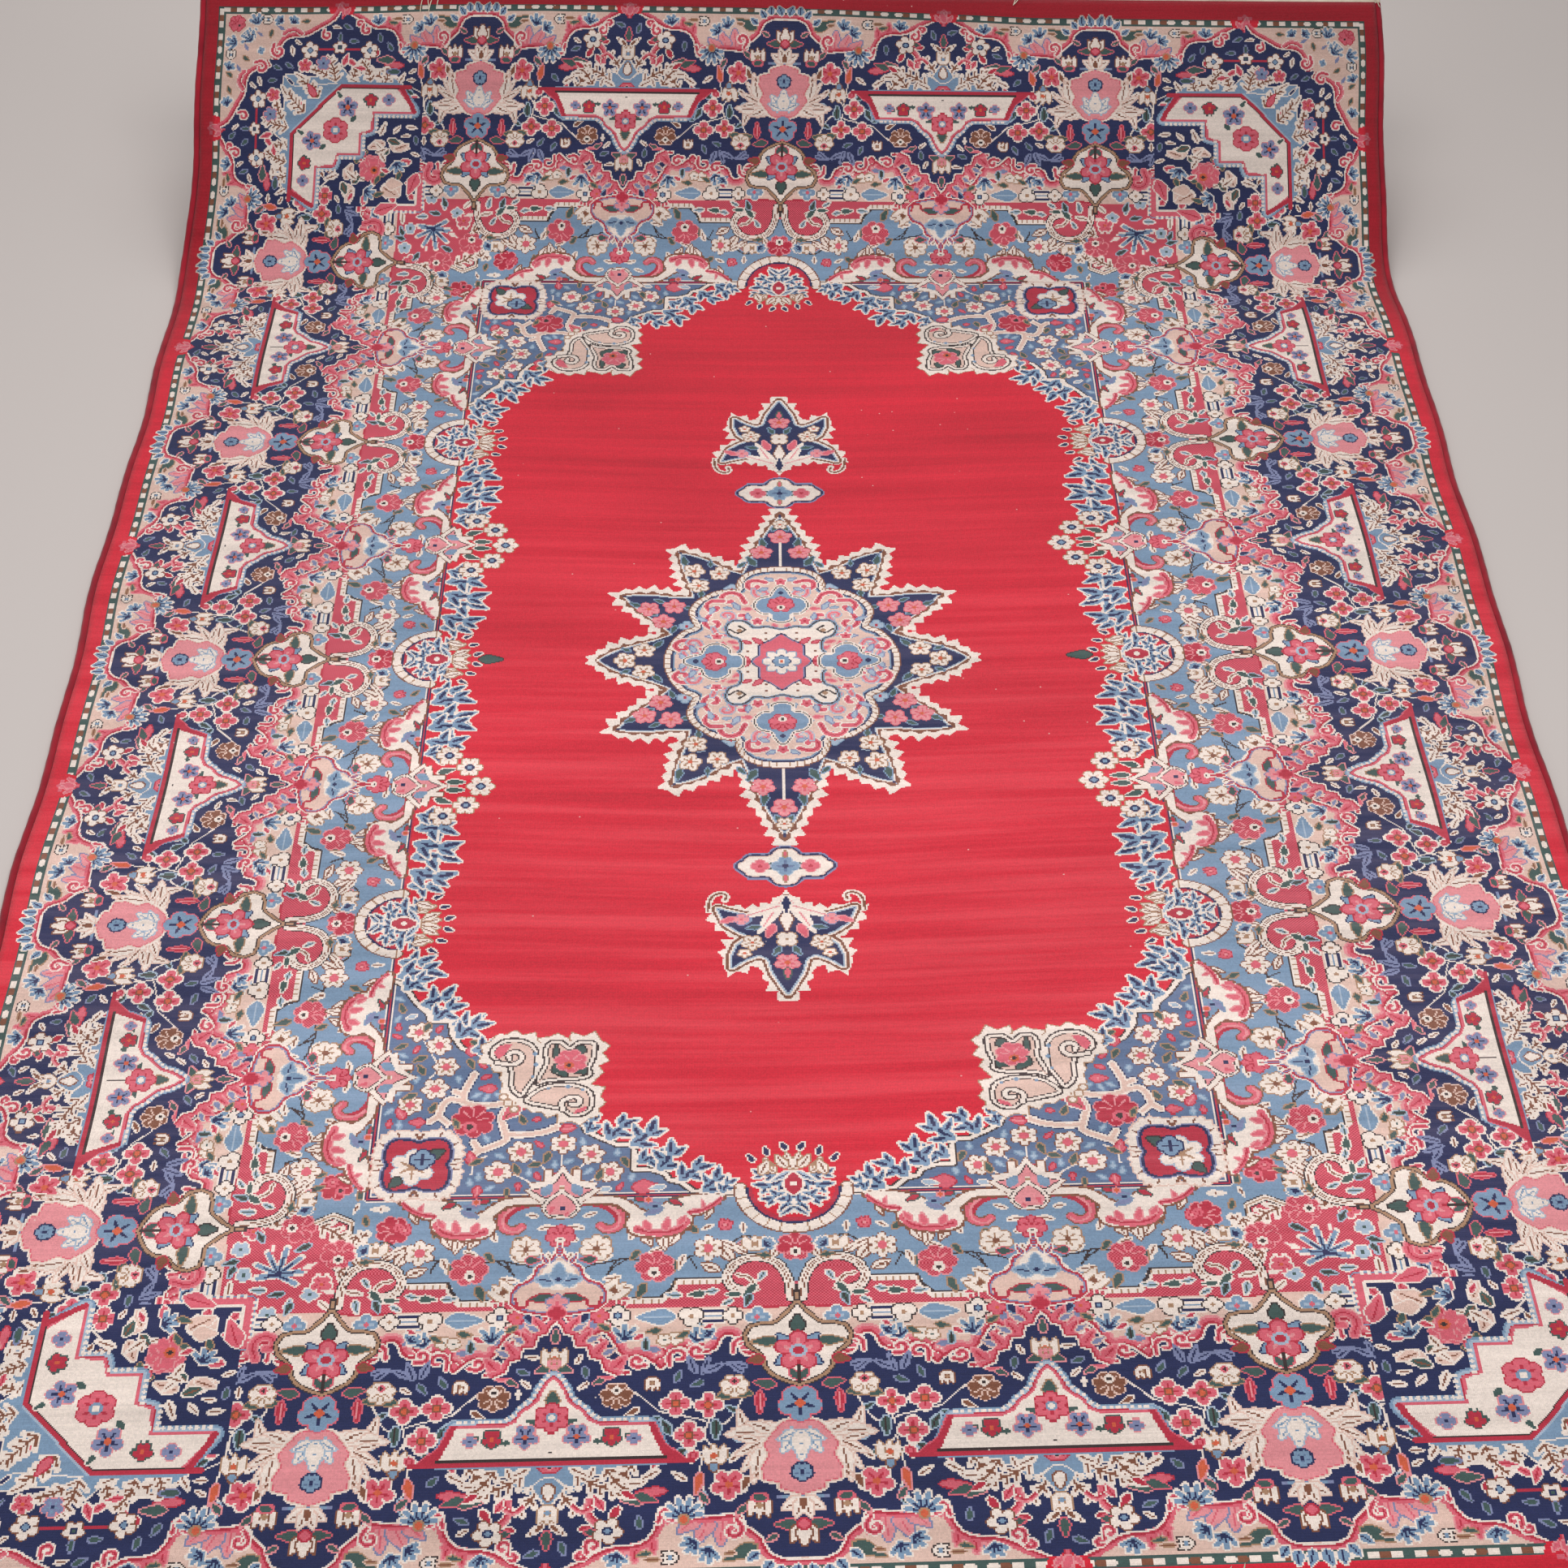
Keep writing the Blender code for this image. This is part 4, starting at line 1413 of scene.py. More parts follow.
ACANTHUS_TEETH = (
    (Leaf(IVORY, BROWN, BROWN, 0.5), ((150, 40, -70, 22), (138, 56, -30, 24), (118, 60, 10, 24),
                                      (96, 58, 30, 22), (176, 20, -20, 20), (184, 8, -60, 16))),
)
ACANTHUS_SHADES = (
    (11.0, ((146, 42), (138, 52), (124, 57), (106, 57), (90, 52))),
    (7.0, ((188, 8), (178, 18), (164, 25), (150, 28))),
)
ACANTHUS_FILL = (
    (Leaf(ROSE, PINK, None, 0.5), ((104, 54, 200, 16), (122, 54, 170, 18), (138, 46, 150, 14),
                                   (168, 20, 200, 10))),
    (Leaf(LAVENDER, SKY, None, 0.4), ((118, 20, 300, 22), (96, 14, 90, 22))),
    (Leaf(CRIMSON, GREEN, None, 0.4), ((126, 8, 60, 18), (86, 6, 80, 14))),
    (Dot(ORANGE, PINK), ((102, 8, 0, 5),)),
    (Dot(NAVY, SKY), ((110, 18, 0, 4),)),
)
STAR_FLOWERS = (
    (Leaf(GREEN, SKY), ((36, 226, 30, 26), (24, 274, 10, 22), (12, 316, 330, 16), (142, 226, 10, 22),
                        (104, 222, 0, 18), (118, 164, 180, 18), (154, 80, 160, 18), (206, 124, 60, 18),
                        (172, 134, 60, 16), (142, 126, 240, 16), (184, 30, 320, 20), (62, 222, 320, 16),
                        (218, 20, 60, 14), (182, 104, 60, 14))),
    (LIGHT_BLOSSOM, ((0, 300, 0, 17), (28, 260, 0, 16), (172, 90, 0, 16), (194, 119, 30, 16),
                     (157, 126, 0, 16))),
    (STAR_FLOWER, ((0, 332, 0, 11), (122, 177, 20, 16), (90, 207, 0, 15), (129, 213, 50, 16),
                   (198, 23, 0, 16), (225, 0, 20, 16))),
    (Flower(PALE, SKY, CRIMSON, 4, 0.6, 1.8), ((71, 169, 0, 11), (138, 79, 0, 11))),
)
ROSETTE_SCROLLS = (
    (Curl(ROSE, IVORY, 8.0, 0.75, CRIMSON), ((22, 186, 70, 14), (52, 136, 20, 18), (84, 140, 90, 15),
                                             (104, 106, 150, 15), (72, 108, 200, 12), (130, 46, 90, 14))),
    (Curl(PINK, PALE, 6.0, 0.7, ROSE), ((40, 168, 190, 12), (98, 76, 200, 13), (142, 20, 200, 12),
                                        (116, 34, 20, 10), (74, 92, 330, 10))),
    (Leaf(PALE, LAVENDER), ((60, 120, 30, 18), (98, 124, 160, 18), (110, 92, 60, 16), (46, 96, 10, 14),
                            (126, 20, 20, 16), (20, 172, 120, 14), (96, 56, 90, 14), (140, 4, 30, 14),
                            (10, 190, 60, 14))),
    (Flower(ROSE, IVORY, CRIMSON), ((34, 92, 0, 9), (112, 26, 0, 8), (92, 56, 0, 8), (0, 188, 0, 9))),
)
PENDANT_FILL = (
    (Leaf(IVORY, IVORY, PINK, 0.2), ((2, 470, 26, 78), (4, 486, 66, 64))),
    (Leaf(GREEN, SKY), ((34, 528, 80, 18), (8, 566, 30, 18), (46, 512, 40, 14))),
    (STAR_FLOWER, ((44, 558, 0, 14), (54, 578, 0, 8))),
    (Flower(PINK, LAVENDER, ROSE, 4, 0.6, 1.4), ((58, 514, 0, 11),)),
    (Leaf(ROSE, PINK), ((66, 512, 70, 20), (16, 524, 20, 26))),
)
# What is strewn over empty ground: each motif, its size and the empty space that it needs.
NAVY_STREW = (
    (IVORY_LEAF, 17.0, 15.0), (Leaf(GREEN, LAVENDER), 15.0, 11.0), (Leaf(ROSE, IVORY), 12.0, 11.0),
    (IVORY_LEAF, 13.0, 9.0),
)
GUARD_STREW = ((Flower(SKY, IVORY, NAVY, 4, 0.5, 1.6), 8.0, 14.0), (GREEN_LEAF, 14.0, 12.0),
               (FAN, 12.0, 11.0))
SPANDREL_STREW = ((GREEN_LEAF, 16.0, 10.0), (Leaf(ROSE, CRIMSON), 12.0, 8.0), (Leaf(PALE, SKY), 12.0, 7.0))
ROSETTE_STREW = ((Leaf(ROSE, PINK), 14.0, 8.0), (Leaf(PALE, SKY), 10.0, 6.0))
SKY_STREW = ((PINK_LEAF, 14.0, 17.0), (IVORY_LEAF, 18.0, 15.0), (GREEN_LEAF, 14.0, 13.0),
             (IVORY_LEAF, 14.0, 11.0))
ROSE_STREW = (
    (Feather(pairs=2), 34.0, 14.0), (Leaf(PALE, IVORY, GREEN), 20.0, 10.0), (IVORY_LEAF, 20.0, 8.0),
    (DARK_LEAF, 16.0, 8.0),
)


@dataclass
class Ground:
    """The light-blue ground inside the border, with its flowers, scrolls and rose-red edge."""

    art: Drawing
    border: Border

    def rose_edge(self, unit: HalfUnit) -> None:
        """Draw the stepped line between the rose-red and the light blue, over one half repeat.

        Args:
            unit: the half repeat, with its palmette's spot.
        """
        art, stretch, spot = self.art, unit.stretch, unit.palmette
        line = np.array([(x * stretch, y) for x, y in ROSE_STEPS], float)
        art.fill(spot, [*line, (HALF_UNIT * stretch, -140), (HALF_UNIT * stretch, -172),
                        (78 * stretch, -172)], SKY)
        art.fill(spot, [*line, (188 * stretch, -128), (70 * stretch, -128), (70 * stretch, -168)], CRIMSON)
        art.line(spot, line + (0, 3.5), 8.0, IVORY)
        art.line(spot, line - (0, 2.0), 3.6, DARK)
        RED_CURL.draw(art, spot.at(186 * stretch, -142, 100, flip=-1), 6.0)
        for x in np.arange(80.0, 186.0, 9.0):
            y = float(np.interp(x, *np.array(ROSE_STEPS, float).T))
            art.line(spot, [(x * stretch, y + 2), (x * stretch, y + 7)], 1.6, TAN)
        art.plant(spot, ROSE_BAND, stretch)

    def scroll(self, unit: HalfUnit) -> None:
        """Draw the ivory C-scroll beside a palmette's tip, with leaves on its back.

        Args:
            unit: the half repeat, with its palmette's spot.
        """
        art, stretch, spot = self.art, unit.stretch, unit.palmette
        art.soft(spot, [(2, -130), (6, -176), (24, -196), (52, -200), (76, -188), (84, -166), (84, -130)],
                 CRIMSON)
        art.plant(spot, SCROLL_LEAVES, stretch)
        hook = [(6, -140), (9, -166), (20, -187), (44, -197), (66, -190), (78, -174), (74, -158),
                (62, -152)]
        art.lines(spot, bend(hook), ((13.0, DARK), (10.0, IVORY), (4.0, BROWN), (1.8, IVORY)))
        art.lines(spot, bend([(66, -174), (52, -168), (44, -152)]), ((7.0, IVORY), (2.0, BROWN)))
        art.dots(spot, [(60, -150)], 7.0, IVORY)
        art.plant(spot, ROSE_BAND, stretch)

    def flowers(self, unit: HalfUnit) -> None:
        """Draw the flowers on the light blue, over one half repeat.

        Args:
            unit: the half repeat, with its palmette's spot.
        """
        art, stretch, spot = self.art, unit.stretch, unit.palmette
        if unit.in_corner:
            return
        for stem in GROUND_STEMS:
            art.stroke(spot, [(x * stretch, y) for x, y in stem], 2.4, DARK)
        art.plant(spot, GROUND_FLOWERS, stretch)

    def turn_corner(self) -> None:
        """Draw the rose-red corner, its line, and the flowers on both sides of it."""
        art, origin = self.art, Spot(0.0, 0.0)
        edge = [(668, 992), (640, 1010), (608, 1006), (590, 1034), (566, 1020), (544, 1008), (520, 1020),
                (524, 1056),
                (546, 1068), (526, 1094), (500, 1112), (470, 1130)]
        art.fill(origin, [*edge, (660, 1140)], CRIMSON)
        art.lines(origin, edge, ((10.0, DARK), (7.0, IVORY), (2.0, TAN)))
        art.plant(origin, CORNER_SKY)
        art.plant(origin, CORNER_ROSE)

    def draw(self) -> None:
        """Draw the whole ground."""
        units = list(self.border.units())
        for unit in units:
            self.rose_edge(unit)
        self.turn_corner()
        for unit in units:
            self.scroll(unit)
            self.flowers(unit)


@dataclass
class Field:
    """The red field, its edge line, arches and acanthus, and the four spandrels."""

    art: Drawing
    half_width: float = 505.0
    half_length: float = 985.0
    side_stars: Tuple[float, ...] = (267.0, 795.0)
    end_stars: Tuple[float, ...] = (273.0,)
    side_arches: Tuple[float, ...] = (0.0, 530.0)
    steps: Tuple[Tuple[float, float], ...] = (
        (505, 632), (492, 640), (470, 672), (455, 688), (452, 700), (426, 702), (422, 725), (408, 747),
        (392, 753),
        (370, 760), (330, 840), (250, 868), (248, 882), (228, 895), (210, 905), (190, 906), (189, 945),
        (168, 946),
        (152, 952), (147, 962), (134, 966), (118, 980), (66, 984),
    )

    def lay_grounds(self) -> None:
        """Knot the spandrel's denim, the red field and the lines between them."""
        art, origin = self.art, Spot(0.0, 0.0)
        wide, long = self.half_width, self.half_length
        art.put((art.u < wide) & (art.v < long), DENIM)
        edge = [(wide, 0), (wide, long), (0, long)]
        art.lines(origin, edge, ((9.0, IVORY), (6.0, NAVY), (2.4, CRIMSON)))
        art.fill(origin, [(0, 0), (wide - 4, 0), *self.steps, (0, long - 4)], RED)
        art.lines(origin, self.steps, ((10.0, DARK), (5.6, IVORY)))

    def acanthus(self, spot: Spot, stretch: float) -> None:
        """Draw the leafy scrolls along the edge line on the light blue.

        Args:
            spot: the axis of a star, on the edge line, with x pointing to the next arch.
            stretch: how much they are stretched along the line.
        """
        art = self.art
        hook = [(26 * stretch, 8), (46 * stretch, 10), (62 * stretch, 18), (70 * stretch, 31),
                (68 * stretch, 46), (56 * stretch, 52),
                (47 * stretch, 46)]
        art.lines(spot, bend(hook), ((14.0, BROWN), (10.5, ROSE)))
        art.stroke(spot, [(x - 4 * stretch, y + 5) for x, y in hook[:4]], 6.0, CRIMSON)
        art.stroke(spot, [(x - 1.5 * stretch, y + 1.5) for x, y in hook], 3.0, PINK)
        art.plant(spot, ACANTHUS_TEETH, stretch)
        bodies = (ACANTHUS_LEAF, ACANTHUS_BELLY)
        outlines = [bend([(x * stretch, y) for x, y in body], True, 3) for body in bodies]
        for outline in outlines:
            art.shape(spot, teeth(outline, 3.0, 9.0), BROWN, ((BROWN, 2.0),))
        for outline in outlines:
            art.fill(spot, outline, IVORY)
        for width, path in ACANTHUS_SHADES:
            run = [(x * stretch, y) for x, y in path]
            art.stroke(spot, run, width, ROSE)
            art.stroke(spot, run, 2.4, CRIMSON)
            art.stroke(spot, [(x, y - 0.45 * width) for x, y in run], 2.4, PINK)
        art.plant(spot, ACANTHUS_FILL, stretch)

    def star(self, spot: Spot) -> None:
        """Draw a white and pink star palmette that sits across the edge line.

        Args:
            spot: its middle, on the edge line.
        """
        art = self.art
        outer = whole([(0, -44), (7, -31), (13, -26), (13, -38), (21, -37), (21, -20), (41, -16), (38, -9),
                       (46, -6), (35, 4),
                       (25, 12), (22, 24), (15, 35), (0, 38)])
        art.shape(spot, outer, IVORY, ((BROWN, 1.2),))
        art.shape(spot, whole([(0, -31), (7, -17), (16, -11), (35, -6), (20, 5), (0, 6)]), PINK,
                  ((DARK, 1.6),))
        art.plant(spot, ((Leaf(SKY, SKY, None, 0.6), ((22, 0, 215, 16), (-22, 0, -215, 16))),))
        body = whole([(0, 0), (12, 11), (17, 22), (10, 31), (0, 30)])
        art.soft(spot, body, PINK, ((DARK, 3.0), (IVORY, 1.4)))
        art.lines(spot, [(-20, 18), (-14, 8), (0, -4), (14, 8), (20, 18)], ((6.4, DARK), (4.0, IVORY)))
        art.plant(spot, (
            (Leaf(ROSE, PINK, None, 0.5), ((9, 18, 20, 12), (-9, 26, 20, 8))),
            (Dot(NAVY, NAVY), ((-2, 22, 0, 3.6),)), (Dot(TAN, IVORY), ((0, -9, 0, 4),)),
        ))

    def arch(self, spot: Spot, radius: float) -> None:
        """Draw a half-round arch on the edge line with its palmette.

        Args:
            spot: its middle, on the edge line.
            radius: of its row of beads.
        """
        art, turns = self.art, np.linspace(-90.0, 90.0, 25)
        path = np.array([way(turn) * radius for turn in turns])
        art.lines(spot, path, ((17.0, BROWN), (13.0, IVORY)))
        for turn in turns[::2]:
            art.line(spot, [way(turn) * (radius - 5.0), way(turn) * (radius + 5.0)], 1.8, TAN)
        art.fill(spot, path * (1.0 - 6.0 / radius), NAVY)
        art.fill(spot, path * (1.0 - 9.0 / radius), CRIMSON)
        art.fill(spot, path * (1.0 - 13.0 / radius) - (0, 3.0), RED)
        art.plant(spot, (
            (TWIG, ((6, -12, 66, 44), (8, 8, 58, 34), (3, 6, 10, 36), (20, -20, 90, 30))),
            (Leaf(IVORY, TAN, BROWN, 0.5), ((22, -22, 150, 24), (30, -22, 175, 24), (38, -20, 200, 24))),
            (Leaf(NAVY, IVORY, None, 0.5), ((46, -40, 150, 14), (8, -58, 160, 14), (30, -50, 170, 14))),
            (Leaf(IVORY, TAN, BROWN, 0.5), ((3, -28, 170, 26), (8, -30, 150, 24))),
            (Leaf(PALE, IVORY, NAVY, 0.3), ((0, -24, 60, 30), (0, 30, 50, 22))),
        ), sides=BOTH)
        art.soft(spot, [(0, -22), (11, -4), (0, 12), (-11, -4)], CRIMSON, ((IVORY, 3.0),))
        art.dots(spot, [(0, -5)], 4.0, IVORY)

    def sprays(self) -> None:
        """Draw the pale-blue sprays that edge the red field and the spandrels' steps."""
        for axis in self.side_arches:
            for flip in BOTH:
                own = Spot(self.half_width - 5.0, axis, 90.0, -flip)
                for x, turn, size, side in EDGE_SPRAYS:
                    place = own.at(x, 0, turn, flip=side)
                    if 0.0 < place.v < 634.0:
                        TWIG.draw(self.art, place, size)
        for u, v, turn, size, side in SPRAYS:
            TWIG.draw(self.art, Spot(u, v, turn, side), size)

    def shield(self) -> None:
        """Draw the curled leaves and the rose where each spandrel points into the field."""
        art, origin = self.art, Spot(0.0, 0.0)
        outlines = [bend(leaf, True, 4) for leaf in CURLED_LEAVES]
        for outline in outlines:
            art.shape(origin, teeth(inset(outline, -8.0), 9.0, 21.0), IVORY, ((TAN, 1.4),))
        for outline in outlines:
            art.fill(origin, inset(outline, -7.0), IVORY)
        for outline in outlines:
            art.shape(origin, outline, IVORY, ((DARK, 2.6),))
            art.fill(origin, inset(outline, 4.0), DARK)
            art.fill(origin, inset(outline, 5.6), BEIGE)
        art.fill(origin, [(346, 739), (362, 742), (368, 754), (362, 766), (354, 756)], ROSE)
        art.fill(origin, [(247, 842), (250, 852), (264, 856), (262, 850)], ROSE)
        for curl in LEAF_CURLS:
            art.lines(origin, bend(curl), ((9.6, DARK), (5.6, IVORY)))
        art.plant(origin, LEAF_FILL)

    def spandrel(self) -> None:
        """Draw what grows on a spandrel's denim ground."""
        art, origin = self.art, Spot(0.0, 0.0)
        for yarn, width in ((NAVY, 13.0), (IVORY, 10.5), (BEIGE, 5.6)):
            for path in ANTLERS:
                art.stroke(origin, path, width, yarn)
        for stem in SPANDREL_STEMS:
            art.stroke(origin, stem, 2.4, IVORY)
        art.plant(origin, SPANDREL)
        self.rosette(Spot(450.0, 933.0))

    def rosette(self, spot: Spot) -> None:
        """Draw the square rosette with its toothed ivory ring.

        Args:
            spot: its middle.
        """
        art = self.art
        square = bend(all_round([(0, -32), (8, -36), (26, -38), (36, -30), (38, -10), (34, 0)]), True, 3)
        ring = inset(square, -14.0)
        art.shape(spot, teeth(ring, 4.0, 10.0), IVORY, ((BEIGE, 2.0),))
        for place in ring[::3]:
            art.line(spot, [place * 0.86, place * 0.97], 2.6, BROWN)
        art.shape(spot, square, CRIMSON, ((LAVENDER, 5.6), (NAVY, 3.4)))
        art.plant(spot, (
            (Flower(IVORY, PALE, TAN, 6, 0.6, 1.6, TAN), ((5, 4, 0, 27),)),
            (Leaf(GREEN, DARK, None, 0.7), ((-14, -12, 240, 20), (18, 20, 40, 18))),
            (Flower(SKY, NAVY, NAVY, 4, 0.7, 2.0, NAVY), ((-6, -8, 0, 15),)),
        ))

    def draw(self) -> None:
        """Draw the field's edge and the spandrels."""
        art, wide, long = self.art, self.half_width, self.half_length
        self.lay_grounds()
        for flip in BOTH:
            for star in self.side_stars:
                self.acanthus(Spot(wide, star, 90.0, -flip), 0.92)
            for star in self.end_stars:
                self.acanthus(Spot(star, long - 1.0, 0.0, flip), 1.0)
        self.spandrel()
        art.strew(DENIM, art.u < wide, SPANDREL_STREW, 7)
        self.sprays()
        for arch in self.side_arches:
            self.arch(Spot(wide, arch, 90.0, -1.0), 55.0)
        self.arch(Spot(0.0, 976.0), 62.0)
        Leaf(GREEN, DARK, None, 0.45).draw(art, Spot(438.0, 0.0, 270.0), 34.0)
        self.shield()
        for star in self.side_stars:
            spot = Spot(wide, star, 90.0, -1.0)
            if star < 400.0:
                art.plant(spot, STAR_DAISIES, sides=BOTH)
            self.star(spot)
        for star in self.end_stars:
            self.star(Spot(star, long - 4.0))


@dataclass
class Medallion:
    """The navy star in the middle of the field, its rosette and its two pendants."""

    art: Drawing
    tips: Tuple[Tuple[float, float], ...] = ((0, 374), (160, 268), (246, 154), (278, 0))
    notches: Tuple[Tuple[float, float], ...] = ((62, 216), (138, 155), (170, 62))

    def outline(self) -> np.ndarray:
        """Find the star's outline over one quarter.

        Returns:
            Its points, from the top tip to the side tip.
        """
        path = []
        for tip, notch, after in zip(self.tips, self.notches, self.tips[1:]):
            for start, stop in ((tip, notch), (notch, after)):
                a, b = np.array(start, float), np.array(stop, float)
                bulge = (a + b) / 2.0
                bulge *= 15.0 / np.hypot(*bulge)
                share = np.linspace(0.0, 1.0, 9)[:-1, None]
                path.append(a + (b - a) * share + bulge * np.sin(math.pi * share))
        return np.concatenate(path + [np.array([self.tips[-1]], float)])

    def star(self) -> None:
        """Draw the star's toothed rim, its lines and its navy ground, with the flowers on it."""
        art, centre = self.art, Spot(0.0, 0.0)
        round_star = all_round(self.outline())
        art.shape(centre, teeth(round_star, 12.0, 20.0), IVORY, ((IVORY, 1.4),))
        art.fill(centre, teeth(inset(round_star, 7.0), 6.0, 20.0), BROWN)
        for depth, yarn in ((9.0, IVORY), (11.0, PALE), (13.0, NAVY)):
            art.fill(centre, inset(round_star, depth), yarn)
        art.line(centre, [(0, 205), (0, 290)], 2.4, IVORY)
        for x, y in ((14, 218), (108, 190), (180, 108), (212, 10)):
            art.line(centre, [(x, y), (x + 12, y + 4)], 2.0, PALE)
        art.plant(centre, STAR_FLOWERS)

    def rosette(self) -> None:
        """Draw the lobed rosette inside the star."""
        art, centre = self.art, Spot(0.0, 0.0)
        ring = [(0, 222), (36, 217), (56, 202), (64, 180), (64, 168), (86, 166), (108, 154), (126, 136),
                (134, 114), (130, 92), (126, 78), (142, 68), (157, 46), (166, 20), (168, 0)]
        lobes = bend(all_round(ring), True, 3)
        art.shape(centre, lobes, IVORY, ((BROWN, 2.0),))
        for place in walk(lobes, np.arange(0.0, run_along(lobes)[-1], 10.0)):
            art.line(centre, [place * 0.95, place * 0.995], 1.8, TAN)
        for depth, yarn in ((8.0, NAVY), (11.0, SKY), (14.0, BEIGE)):
            art.fill(centre, inset(lobes, depth), yarn)
        art.plant(centre, ROSETTE_SCROLLS)
        art.strew(BEIGE, np.hypot(art.u, art.v) < 210.0, ROSETTE_STREW, 5)
        cross = [(0, 70), (20, 76), (40, 74), (52, 88), (68, 90), (76, 78), (72, 60), (58, 52), (54, 30),
                 (60, 14), (62, 0)]
        body = bend(all_round(cross), True, 3)
        art.shape(centre, body, IVORY, ((SKY, 6.0), (DARK, 3.6), (PALE, 1.4)))
        art.stroke(centre, [(74, 72), (62, 64), (52, 72), (60, 80)], 3.4, DARK)
        art.dots(centre, [(60, 70)], 4.0, TAN)
        art.dots(centre, [(22, 64), (48, 22), (22, 50)], 3.0, BROWN)
        oval = bend(all_round([(0, 60), (12, 48), (30, 34), (30, 14), (40, 0)]), True, 3)
        art.shape(centre, oval, ROSE, ((NAVY, 3.4), (LAVENDER, 1.4)))
        art.plant(centre, (
            (Leaf(ROSE, CRIMSON), ((28, 40, 45, 18), (44, 40, 60, 12), (46, 2, 45, 12))),
            (Flower(IVORY, SKY, SKY, 8, 0.62, 1.6), ((0, 0, 0, 27),)),
            (Flower(SKY, NAVY, ORANGE, 8, 0.7, 1.6, None, IVORY), ((0, 0, 0, 12),)),
        ))
        shield = whole([(0, 46), (9, 34), (14, 22), (30, 16), (36, 0), (28, -14), (14, -18), (12, -32),
                        (0, -36)])
        for spot in (Spot(0, 128), Spot(92, 0, 90.0, -1.0)):
            art.soft(spot, shield, SKY, ((IVORY, 6.0), (DARK, 4.0), (IVORY, 2.4)))
            CARNATION.draw(art, spot.at(0, 4), 18.0)
            art.dots(spot, [(0, 32)], 4.0, NAVY)

    def pendant(self) -> None:
        """Draw the small cartouche and the palmette beyond the star's tip."""
        art, spot = self.art, Spot(0.0, 413.5)
        small = [(0, 33), (11, 30), (18, 21), (26, 18), (46, 18), (53, 10), (60, 4), (61, 0)]
        small = bend(all_round(small), True, 3)
        art.shape(spot, small, IVORY, ((LAVENDER, 6.6), (NAVY, 4.4), (BEIGE, 1.4)))
        art.plant(spot, (
            (Dot(GREEN, GREEN), ((17, 0, 0, 7),)),
            (Flower(ROSE, PINK, CRIMSON, 4, 0.7, 1.4), ((33, 0, 0, 12),)),
            (Flower(SKY, PALE, NAVY, 4, 0.6, 1.4, DENIM), ((0, 0, 0, 18),)),
            (Leaf(ROSE, TAN), ((0, 18, 0, 11), (0, -18, 180, 11))),
        ), sides=BOTH)
        blades = whole([(0, 652), (9, 634), (18, 614), (24, 588), (36, 581), (52, 589), (70, 604),
                        (70, 584), (63, 563), (46, 546), (60, 538), (77, 524), (88, 494), (74, 500),
                        (52, 507), (28, 506), (12, 494), (0, 474)])
        far = Spot(0.0, 0.0)
        art.shape(far, teeth(inset(blades, -11.0), 10.0, 19.0), IVORY, ((IVORY, 1.0),))
        art.lines(far, blades, ((20.0, IVORY), (17.0, BROWN), (10.0, IVORY), (5.0, PALE)), closed=True)
        hook = [(101, 498), (99, 480), (94, 469), (84, 464), (77, 469), (79, 477)]
        for side in BOTH:
            art.lines(far, bend([(side * x, y) for x, y in hook]), ((9.0, IVORY), (3.2, BROWN)))
        art.fill(far, blades, NAVY)
        art.plant(far, PENDANT_FILL, sides=BOTH)
        art.plant(far, (
            (Leaf(IVORY, BROWN, ROSE, 0.42), ((0, 500, 0, 36),)),
            (Leaf(NAVY, IVORY, SKY, 0.3), ((0, 470, 0, 34),)),
            (Flower(IVORY, TAN, TAN, 4, 0.6, 1.6), ((0, 552, 45, 14),)),
            (LIGHT_BLOSSOM, ((0, 596, 0, 16),)), (Leaf(ROSE, GREEN), ((0, 606, 0, 20),)),
        ))

    def draw(self) -> None:
        """Draw the medallion and a pendant."""
        self.star()
        self.rosette()
        self.pendant()


def draw_all(art: Drawing) -> None:
    """Draw the whole quarter of the rug.

    Args:
        art: the empty chart.
    """
    border = Border(art)
    border.lay_grounds()
    Ground(art, border).draw()
    Field(art).draw()
    out = border.bands.out(art)
    corner = (art.u > 500.0) & (art.v > 1000.0)
    art.strew(SKY, (out < -140.0) & (out > -300.0), SKY_STREW, 3)
    art.strew(CRIMSON, corner & (out < -132.0), ROSE_STREW, 4)
    art.mottle((out < -128.0) & (corner | (out > -205.0)), CRIMSON, ROSE)
    Medallion(art).draw()
    border.draw()


def linear(colour: Tuple[int, int, int]) -> Tuple[float, float, float, float]:
    """Return an 8-bit screen colour as linear light, with full alpha."""
    parts = (part / 255.0 for part in colour)
    return (*(p / 12.92 if p <= 0.04045 else ((p + 0.055) / 1.055) ** 2.4 for p in parts), 1.0)


